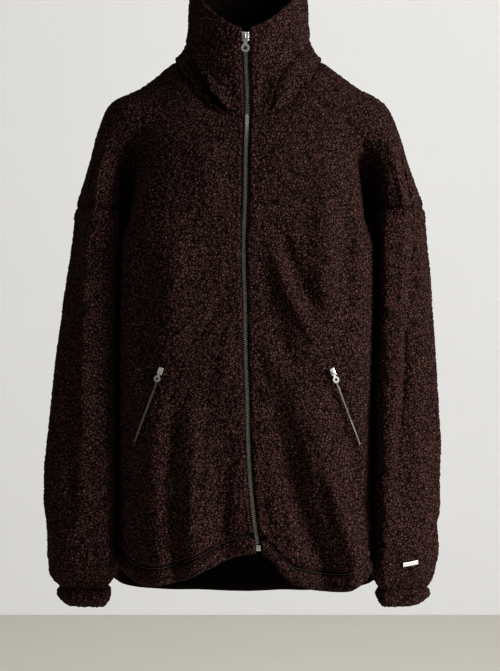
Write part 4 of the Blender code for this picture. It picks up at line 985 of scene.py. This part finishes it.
# ---------------------------------------------------------------- materials
def link(tree, a, out, b, into):
    tree.links.new(a.outputs[out], b.inputs[into])


def node(tree, kind, **values):
    made = tree.nodes.new(kind)
    for key, value in values.items():
        if key.startswith("in_"):
            made.inputs[key[3:].replace("_", " ")].default_value = value
        else:
            setattr(made, key, value)
    return made


def ramp(tree, stops):
    made = tree.nodes.new("ShaderNodeValToRGB")
    el = made.color_ramp.elements
    while len(el) > len(stops):
        el.remove(el[-1])
    while len(el) < len(stops):
        el.new(0.5)
    for e, (at, colour) in zip(el, stops):
        e.position = at
        e.color = (*colour, 1.0)
    return made


def blank(name):
    mat = bpy.data.materials.new(name)
    mat.use_nodes = True
    tree = mat.node_tree
    shader = tree.nodes["Principled BSDF"]
    return mat, tree, shader


def pile_material():
    mat, t, bsdf = blank("pile_cloth")
    at = node(t, "ShaderNodeTexCoord")
    tip = node(t, "ShaderNodeAttribute", attribute_name="tip")
    # curls: small crooked clumps, each with its own tone, with painted shade in the gaps between them
    warp = node(t, "ShaderNodeTexNoise", in_Scale=130.0, in_Detail=2.0)
    link(t, at, "Object", warp, "Vector")
    bend = node(t, "ShaderNodeVectorMath", operation="MULTIPLY_ADD")
    bend.inputs[1].default_value = (0.0075, 0.0075, 0.0075)
    link(t, warp, "Color", bend, 0)
    link(t, at, "Object", bend, 2)
    gap = node(t, "ShaderNodeTexVoronoi", feature="DISTANCE_TO_EDGE", in_Scale=255.0)
    link(t, bend, "Vector", gap, "Vector")
    open_ = node(t, "ShaderNodeMapRange", interpolation_type="SMOOTHSTEP")
    open_.inputs["From Min"].default_value = 0.0
    open_.inputs["From Max"].default_value = 0.26
    link(t, gap, "Distance", open_, "Value")
    tone = node(t, "ShaderNodeTexVoronoi", in_Scale=255.0)
    link(t, bend, "Vector", tone, "Vector")
    own = node(t, "ShaderNodeSeparateColor")
    link(t, tone, "Color", own, "Color")
    fibre = node(t, "ShaderNodeTexNoise", in_Scale=700.0, in_Detail=2.0, in_Roughness=0.62,
                 in_Distortion=1.5)
    link(t, bend, "Vector", fibre, "Vector")
    broad = node(t, "ShaderNodeTexNoise", in_Scale=13.0, in_Detail=3.0, in_Roughness=0.6)
    link(t, at, "Object", broad, "Vector")

    def add(source, out, factor, onto=None):
        made = node(t, "ShaderNodeMath", operation="MULTIPLY_ADD")
        made.inputs[1].default_value = factor
        link(t, source, out, made, 0)
        if onto is None:
            made.inputs[2].default_value = 0.0
        else:
            link(t, onto, "Value", made, 2)
        return made

    # colour value: fibres and open tips lighter, gaps and seams darker as painted shade, plus each
    # clump's own tone and a broad random tone
    high = add(fibre, "Fac", 0.42, add(open_, "Result", 0.55))
    tint = add(tip, "Fac", 0.30, add(own, "Red", 0.07, add(broad, "Fac", 0.04, high)))
    shade = ramp(t, [(0.48, (0.0016, 0.0006, 0.0005)), (0.73, (0.0200, 0.0082, 0.0068)),
                     (0.98, (0.0640, 0.0285, 0.0245)), (1.0, (0.0680, 0.0300, 0.0260))])
    shade.color_ramp.elements[3].position = 1.0
    span = node(t, "ShaderNodeMapRange")
    span.inputs["From Max"].default_value = 1.19
    link(t, tint, "Value", span, "Value")
    link(t, span, "Result", shade, "Fac")
    # painted shade: seams, grooves and the inside of the cloth are darkened as if in the pile's own
    # shade (the inside partly for its darker knit)
    hollow_shade = node(t, "ShaderNodeMapRange", interpolation_type="SMOOTHSTEP")
    hollow_shade.inputs["From Min"].default_value = 0.10
    hollow_shade.inputs["From Max"].default_value = 0.50
    hollow_shade.inputs["To Min"].default_value = 0.22
    link(t, tip, "Fac", hollow_shade, "Value")
    deep = node(t, "ShaderNodeVectorMath", operation="SCALE")
    link(t, shade, "Color", deep, 0)
    link(t, hollow_shade, "Result", deep, "Scale")
    link(t, deep, "Vector", bsdf, "Base Color")
    bump = node(t, "ShaderNodeBump", in_Strength=0.9, in_Distance=0.0030)
    link(t, high, "Value", bump, "Height")
    link(t, bump, "Normal", bsdf, "Normal")
    bsdf.inputs["Roughness"].default_value = 0.9
    bsdf.inputs["Specular IOR Level"].default_value = 0.02
    bsdf.inputs["Sheen Weight"].default_value = 0.016
    bsdf.inputs["Sheen Roughness"].default_value = 0.45
    bsdf.inputs["Sheen Tint"].default_value = (0.62, 0.36, 0.31, 1.0)
    return mat


def tape_material():
    mat, t, bsdf = blank("tape_weave")
    at = node(t, "ShaderNodeTexCoord")
    wave = node(t, "ShaderNodeTexWave", wave_type="BANDS", bands_direction="DIAGONAL",
                in_Scale=260.0, in_Distortion=0.6)
    wave.inputs["Detail"].default_value = 1.0
    link(t, at, "Object", wave, "Vector")
    noise = node(t, "ShaderNodeTexNoise", in_Scale=900.0, in_Detail=2.0)
    link(t, at, "Object", noise, "Vector")
    mix = node(t, "ShaderNodeMath", operation="MULTIPLY_ADD")
    mix.inputs[1].default_value = 0.4
    link(t, noise, "Fac", mix, 0)
    half = node(t, "ShaderNodeMath", operation="MULTIPLY")
    half.inputs[1].default_value = 0.6
    link(t, wave, "Fac", half, 0)
    link(t, half, "Value", mix, 2)
    shade = ramp(t, [(0.2, (0.0035, 0.0018, 0.0015)), (0.8, (0.016, 0.0085, 0.0070))])
    link(t, mix, "Value", shade, "Fac")
    link(t, shade, "Color", bsdf, "Base Color")
    bump = node(t, "ShaderNodeBump", in_Strength=0.6, in_Distance=0.0004)
    link(t, mix, "Value", bump, "Height")
    link(t, bump, "Normal", bsdf, "Normal")
    bsdf.inputs["Roughness"].default_value = 0.8
    bsdf.inputs["Specular IOR Level"].default_value = 0.25
    bsdf.inputs["Sheen Weight"].default_value = 0.08
    return mat


def metal_material(name, colour, dark, rough, scale):
    mat, t, bsdf = blank(name)
    at = node(t, "ShaderNodeTexCoord")
    noise = node(t, "ShaderNodeTexNoise", in_Scale=scale, in_Detail=4.0, in_Roughness=0.6)
    link(t, at, "Object", noise, "Vector")
    shade = ramp(t, [(0.35, dark), (0.65, colour)])
    link(t, noise, "Fac", shade, "Fac")
    link(t, shade, "Color", bsdf, "Base Color")
    span = node(t, "ShaderNodeMapRange")
    span.inputs["To Min"].default_value = rough + 0.14
    span.inputs["To Max"].default_value = rough - 0.08
    link(t, noise, "Fac", span, "Value")
    link(t, span, "Result", bsdf, "Roughness")
    bump = node(t, "ShaderNodeBump", in_Strength=0.25, in_Distance=0.00008)
    link(t, noise, "Fac", bump, "Height")
    link(t, bump, "Normal", bsdf, "Normal")
    bsdf.inputs["Metallic"].default_value = 1.0
    return mat


def thread_material():
    mat, t, bsdf = blank("thread")
    at = node(t, "ShaderNodeTexCoord")
    wave = node(t, "ShaderNodeTexWave", bands_direction="DIAGONAL", in_Scale=700.0)
    link(t, at, "Object", wave, "Vector")
    shade = ramp(t, [(0.2, (0.006, 0.003, 0.0025)), (0.9, (0.028, 0.015, 0.012))])
    link(t, wave, "Fac", shade, "Fac")
    link(t, shade, "Color", bsdf, "Base Color")
    bump = node(t, "ShaderNodeBump", in_Strength=0.5, in_Distance=0.0002)
    link(t, wave, "Fac", bump, "Height")
    link(t, bump, "Normal", bsdf, "Normal")
    bsdf.inputs["Roughness"].default_value = 0.6
    return mat


def plain_material(name, colour, rough, glow=0.0):
    mat, t, bsdf = blank(name)
    at = node(t, "ShaderNodeTexCoord")
    noise = node(t, "ShaderNodeTexNoise", in_Scale=2.5, in_Detail=3.0)
    link(t, at, "Object", noise, "Vector")
    low = tuple(c * 0.985 for c in colour)
    shade = ramp(t, [(0.3, low), (0.7, colour)])
    link(t, noise, "Fac", shade, "Fac")
    link(t, shade, "Color", bsdf, "Base Color")
    bsdf.inputs["Roughness"].default_value = rough
    bsdf.inputs["Specular IOR Level"].default_value = 0.1
    if glow:
        bsdf.inputs["Emission Color"].default_value = (*colour, 1.0)
        bsdf.inputs["Emission Strength"].default_value = glow
    return mat


# ------------------------------------------------------------ zip and thread
def mesh_piece(name, verts, faces, material, smooth=True, angle=40):
    mesh = bpy.data.meshes.new(name)
    mesh.from_pydata([tuple(v) for v in verts], [], [tuple(f) for f in faces])
    mesh.update()
    mesh.materials.append(material)
    if smooth:
        mesh.shade_smooth()
        mesh.set_sharp_from_angle(angle=math.radians(angle))
    ob = bpy.data.objects.new(name, mesh)
    bpy.context.scene.collection.objects.link(ob)
    return ob


def tooth(side, long, tall, thick):
    """One zip tooth in mm: head over the middle, waist and foot on the tape."""
    prof = [(-0.55, 0.30), (0.15, 0.50), (0.75, 0.36), (long - 0.5, 0.5), (long, 0.42)]
    verts, faces = [], []
    for x, h in prof:
        for y, k in ((0.0, 0.72), (-0.3, 1.0), (-thick + 0.35, 1.0), (-thick, 0.66)):
            verts.append((side * x, y, h * tall * k))
        for y, k in ((-thick, 0.66), (-thick + 0.35, 1.0), (-0.3, 1.0), (0.0, 0.72)):
            verts.append((side * x, y, -h * tall * k))
    n = 8
    for i in range(len(prof) - 1):
        for k in range(n):
            a, b = i * n + k, i * n + (k + 1) % n
            f = (a, b, b + n, a + n)
            faces.append(f if side < 0 else f[::-1])
    cap = tuple(range(n))
    end = tuple((len(prof) - 1) * n + k for k in range(n))
    faces += [cap[::-1] if side < 0 else cap, end if side < 0 else end[::-1]]
    return np.array(verts), faces


def teeth(name, path, pitch, long, tall, thick, material):
    """Teeth of both sides meshed along a path of (centre, out, down, wide)."""
    pts = np.array([q[0] for q in path])
    d = np.concatenate([[0], np.cumsum(np.linalg.norm(np.diff(pts, axis=0), axis=1))])
    n = int(d[-1] / pitch)
    verts, faces = [], []
    for side in (-1, 1):
        tv, tf = tooth(side, long, tall, thick)
        for k in range(n):
            at = (k + (0.25 if side > 0 else 0.75)) * pitch
            if at > d[-1]:
                continue
            c = np.array([np.interp(at, d, pts[:, m]) for m in range(3)])
            out, down, wide = (
                np.array([np.interp(at, d, [q[j][m] for q in path]) for m in range(3)])
                for j in (1, 2, 3))
            out, down, wide = (w / np.linalg.norm(w) for w in (out, down, wide))
            base = len(verts)
            for v in tv:
                verts.append(tuple((c + wide * v[0] - out * v[1] - down * v[2]) * MM))
            faces += [tuple(base + m for m in f) for f in tf]
    return mesh_piece(name, verts, faces, material, True, 35)


def stitches(name, lines, long, gap, thick, material):
    """Thread dashes along lines of (point, out) in mm."""
    verts, faces = [], []
    for rows in lines:
        pts = np.array([q[0] for q in rows])
        nrm = np.array([q[1] for q in rows])
        d = np.concatenate([[0], np.cumsum(np.linalg.norm(np.diff(pts, axis=0), axis=1))])
        at = gap
        while at + long < d[-1]:
            ends = []
            for u, h in ((0, -0.5), (0.3, 0.22), (0.7, 0.22), (1, -0.5)):
                w = at + u * long
                c = np.array([np.interp(w, d, pts[:, m]) for m in range(3)])
                o = np.array([np.interp(w, d, nrm[:, m]) for m in range(3)])
                o = o / np.linalg.norm(o)
                ends.append((c + o * h, o))
            way = ends[-1][0] - ends[0][0]
            way = way / np.linalg.norm(way)
            base = len(verts)
            for c, o in ends:
                side = np.cross(way, o)
                for k in range(5):
                    g = 2 * math.pi * k / 5
                    v = c + (side * math.cos(g) + o * math.sin(g)) * thick / 2
                    verts.append(tuple(v * MM))
            for i in range(3):
                for k in range(5):
                    a, b = base + i * 5 + k, base + i * 5 + (k + 1) % 5
                    faces.append((a, a + 5, b + 5, b))
            faces.append(tuple(base + k for k in range(5)))
            faces.append(tuple(base + 15 + k for k in reversed(range(5))))
            at += long + gap
    return mesh_piece(name, verts, faces, material, True, 60)


def front_teeth(material):
    rows = centre_path(ZIP_TOP_Z - 8.0, -668, 6)
    pts = np.array(rows)
    deep = WALL - 0.7
    path = []
    for k in range(len(pts)):
        a, b = pts[max(k - 1, 0)], pts[min(k + 1, len(pts) - 1)]
        down = (b - a) / np.linalg.norm(b - a)
        wide = np.array([1.0, 0, 0])
        out = np.cross(wide, down)
        out = out if out[1] < 0 else -out
        path.append((pts[k] + np.array([0, deep + CHAIN_THICK, 0]), out, down, wide))
    ob = teeth("zip_teeth", path, 2.7, 2.7, 1.55, CHAIN_THICK + 0.3, material)
    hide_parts("zip_chain")
    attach(ob, "garment")
    return ob


def node_points(name):
    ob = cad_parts[name]
    return np.array([tuple(v.co) for v in ob.data.vertices]) / MM


def pocket_teeth(tag, spec, material):
    """Along the CAD chain of a pocket, found from its own box and corners."""
    side, x0, z0, x1, z1 = spec
    pts = node_points("pocket_chain_" + tag)
    way = np.array([x1 - x0, z1 - z0], float)
    long = np.linalg.norm(way)
    way /= long
    u = (pts[:, 0] - x0) * way[0] + (pts[:, 2] - z0) * way[1]
    path = []
    for k in np.linspace(0.07, 1, 9):
        near = np.abs(u - k * long) < 6.5
        c = pts[near].mean(0)
        path.append([c])
    pts_c = np.array([q[0] for q in path])
    across = np.array([-way[1], 0, way[0]])
    if across[0] < 0:
        across = -across
    out_rows = []
    for k in range(len(path)):
        a, b = pts_c[max(k - 1, 0)], pts_c[min(k + 1, len(path) - 1)]
        down = (b - a) / np.linalg.norm(b - a)
        near = np.abs(u - np.linspace(0.07, 1, 9)[k] * long) < 6.5
        local = pts[near] - pts_c[k]
        w = local @ across
        slope = np.polyfit(w, local[:, 1], 1)[0]
        wide = across + np.array([0, slope, 0])
        wide /= np.linalg.norm(wide)
        out = np.cross(down, wide)
        out = out if out[1] < 0 else -out
        out_rows.append((pts_c[k] - out * 0.9, out, down, wide))
    ob = teeth("pocket_teeth_" + tag, out_rows, 2.1, 1.25, 1.2, 1.6, material)
    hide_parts("pocket_chain_" + tag)
    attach(ob, "garment")
    return ob


def soft_copy(name, node_name, material, wave, size):
    """A soft strip or bag: the CAD piece's form, finely divided, with small
    uneven waves across it."""
    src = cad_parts[node_name]
    mesh = src.data.copy()
    mesh.name = name
    ob = bpy.data.objects.new(name, mesh)
    ob.matrix_world = src.matrix_world
    bpy.context.scene.collection.objects.link(ob)
    mod = ob.modifiers.new("fine", "SUBSURF")
    mod.subdivision_type = "SIMPLE"
    mod.levels = mod.render_levels = size
    weld = ob.modifiers.new("weld", "WELD")
    weld.merge_threshold = 0.00001
    ob.modifiers.move(1, 0)
    bpy.context.view_layer.update()
    made = bpy.data.meshes.new_from_object(
        ob.evaluated_get(bpy.context.evaluated_depsgraph_get()))
    ob.modifiers.clear()
    ob.data = made
    made.name = name
    p = np.array([tuple(v.co) for v in made.vertices]) / MM
    h = wave * (np.sin(p[:, 2] / 9.0 + 1.6 * np.sin(p[:, 0] / 23.0))
                + 0.6 * np.sin(p[:, 0] / 7.0 + p[:, 2] / 31.0))
    p[:, 1] += h
    made.vertices.foreach_set("co", (p * MM).astype(np.float32).reshape(-1))
    made.update()
    made.materials.clear()
    made.materials.append(material)
    made.shade_smooth()
    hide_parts(node_name)
    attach(ob, "garment")
    return ob


def dress(name, material):
    """Gives a kept CAD piece its finished material."""
    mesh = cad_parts[name].data
    for k in range(len(mesh.materials)):
        mesh.materials[k] = material
    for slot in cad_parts[name].material_slots:
        slot.material = material


def hem_stitches(material):
    lines = []
    for side, face in ((1, -1), (-1, -1), (1, 1), (-1, 1)):
        s = even(lambda t: body(side, face, t, 1.95), 0.0, 1.0, 90)[2:-2]
        rows = []
        for v in s:
            r = np.linspace(1.85, 2.0, 60)
            p = body(side, face, np.full(r.shape, v), r)
            d = np.concatenate([[0], np.cumsum(np.linalg.norm(np.diff(p, axis=0), axis=1))])
            d = d[-1] - d
            at = float(np.interp(HEM_STITCH, d[::-1], r[::-1]))
            c = body(side, face, np.array(v), np.array(at))
            e = body(side, face, np.array(min(v + 0.01, 1.0)), np.array(at)) - body(
                side, face, np.array(max(v - 0.01, 0.0)), np.array(at))
            out = np.cross(e, [0, 0, 1.0])
            out /= np.linalg.norm(out)
            if np.dot(out, [c[0], c[1], 0]) < 0:
                out = -out
            if face < 0:
                c = edge_shift(c[None], side)[0]
            rows.append((c - out * 1.0, out))
        lines.append(rows)
    ob = stitches("hem_stitches", lines, 3.0, 1.1, 0.75, material)
    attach(ob, "garment")
    return ob


# --------------------------------------------------------------------- build
PILE = pile_material()
TAPE = tape_material()
ZIP = metal_material("zip_metal_nickel", (0.80, 0.79, 0.77), (0.56, 0.55, 0.53), 0.34, 900.0)
# the zip's teeth: the metal drawn darker than the slider and pull
TEETH = metal_material("zip_teeth_darker", (0.36, 0.33, 0.30), (0.16, 0.145, 0.13), 0.40, 700.0)
# pocket teeth: the zip metal made rougher and painted much darker, as shade of the pile around them
DULL_SHADED = metal_material("zip_teeth_dull_painted_shade", (0.17, 0.155, 0.14), (0.07, 0.063, 0.057), 0.55, 700.0)
PLATE_MAT = metal_material("plate_brushed", (0.50, 0.49, 0.475), (0.36, 0.355, 0.345), 0.36, 1200.0)
THREAD = thread_material()

left = front("cloth_front_left", "front_left", 1, FRONT_LEFT_CREASES, PILE, 1)
right = front("cloth_front_right", "front_right", -1, FRONT_RIGHT_CREASES, PILE, 11)
rear = back(PILE)
arm_left = sleeve_shell("cloth_sleeve_left", "sleeve_left", 1, SLEEVE_LEFT_CREASES, PILE, 31)
arm_right = sleeve_shell("cloth_sleeve_right", "sleeve_right", -1, SLEEVE_RIGHT_CREASES,
                         PILE, 41)
wrist_left = cuff_shell("cloth_cuff_left", "cuff_left", 1, PILE, 51)
wrist_right = cuff_shell("cloth_cuff_right", "cuff_right", -1, PILE, 55)
neck = collar_shell(PILE)
front_teeth(TEETH)
for tag, spec in (("right", POCKETS[0]), ("left", POCKETS[1])):
    pocket_teeth(tag, spec, DULL_SHADED)
thread = hem_stitches(THREAD)
tapes = [soft_copy("tape_" + tag, "zip_tape_" + tag, TAPE, 0.12, 3) for tag in ("left", "right")]
bags = [soft_copy("bag_" + tag, "pocket_bag_" + tag, TAPE, 0.5, 3) for tag in ("left", "right")]
for name in ("zip_box", "zip_slider", "zip_pull", "pocket_slider_left", "pocket_slider_right",
             "pocket_pull_left", "pocket_pull_right"):
    dress(name, ZIP)
dress("sleeve_plate", PLATE_MAT)

# --------------------------------------------------------- floor, wall, light
FLOOR_Z = -1.45
WALL_Y = 5.6


def plane(name, corners, material):
    mesh = bpy.data.meshes.new(name)
    mesh.from_pydata(corners, [], [(0, 1, 2, 3)])
    mesh.materials.append(material)
    ob = bpy.data.objects.new(name, mesh)
    bpy.context.scene.collection.objects.link(ob)
    return ob


plane("floor", [(-9, -9, FLOOR_Z), (9, -9, FLOOR_Z), (9, WALL_Y, FLOOR_Z),
                (-9, WALL_Y, FLOOR_Z)], plain_material("floor_paint", (0.775, 0.748, 0.66), 0.8))
plane("backdrop", [(-9, WALL_Y, FLOOR_Z), (9, WALL_Y, FLOOR_Z), (9, WALL_Y, 6),
                   (-9, WALL_Y, 6)],
      plain_material("wall_paint", (0.745, 0.741, 0.737), 0.9, glow=0.145))


def area_light(name, at, look, size, watts, colour=(1, 1, 1)):
    data = bpy.data.lights.new(name, "AREA")
    data.shape = "RECTANGLE"
    data.size, data.size_y = size
    data.energy = watts
    data.color = colour
    ob = bpy.data.objects.new(name, data)
    bpy.context.scene.collection.objects.link(ob)
    ob.location = at
    ob.rotation_euler = (Vector(look) - Vector(at)).to_track_quat("-Z", "Y").to_euler()
    ob.visible_camera = False
    return ob


area_light("key", (3.3, -1.6, 0.45), (0, 0, -0.4), (1.3, 1.9), 338)
area_light("fill", (-3.3, -1.1, 0.2), (0, 0, -0.4), (1.6, 1.9), 16)
area_light("top", (0.8, -1.3, 2.6), (0, 0, -0.2), (2.0, 1.2), 34)
area_light("wall_wash", (1.5, 2.2, 2.8), (1.0, WALL_Y, 0.0), (5.0, 1.0), 64)

world = bpy.data.worlds.new("studio")
bpy.context.scene.world = world
world.use_nodes = True
world.node_tree.nodes["Background"].inputs["Color"].default_value = (0.98, 0.99, 1.0, 1.0)
world.node_tree.nodes["Background"].inputs["Strength"].default_value = 0.065

bpy.context.scene.view_settings.view_transform = "Standard"
bpy.context.scene.view_settings.look = "None"

camera = bpy.data.cameras.new("camera")
camera.sensor_fit = "AUTO"
camera.sensor_width = 36.0
camera.lens = 36.0 * 3.4 / (671 * 1.45 * MM)
camera.clip_start, camera.clip_end = 0.05, 60.0
eye = bpy.data.objects.new("camera", camera)
eye.location = (0.0058, -3.4, -0.378)
eye.rotation_euler = (math.pi / 2, 0, 0)
bpy.context.scene.collection.objects.link(eye)
bpy.context.scene.camera = eye
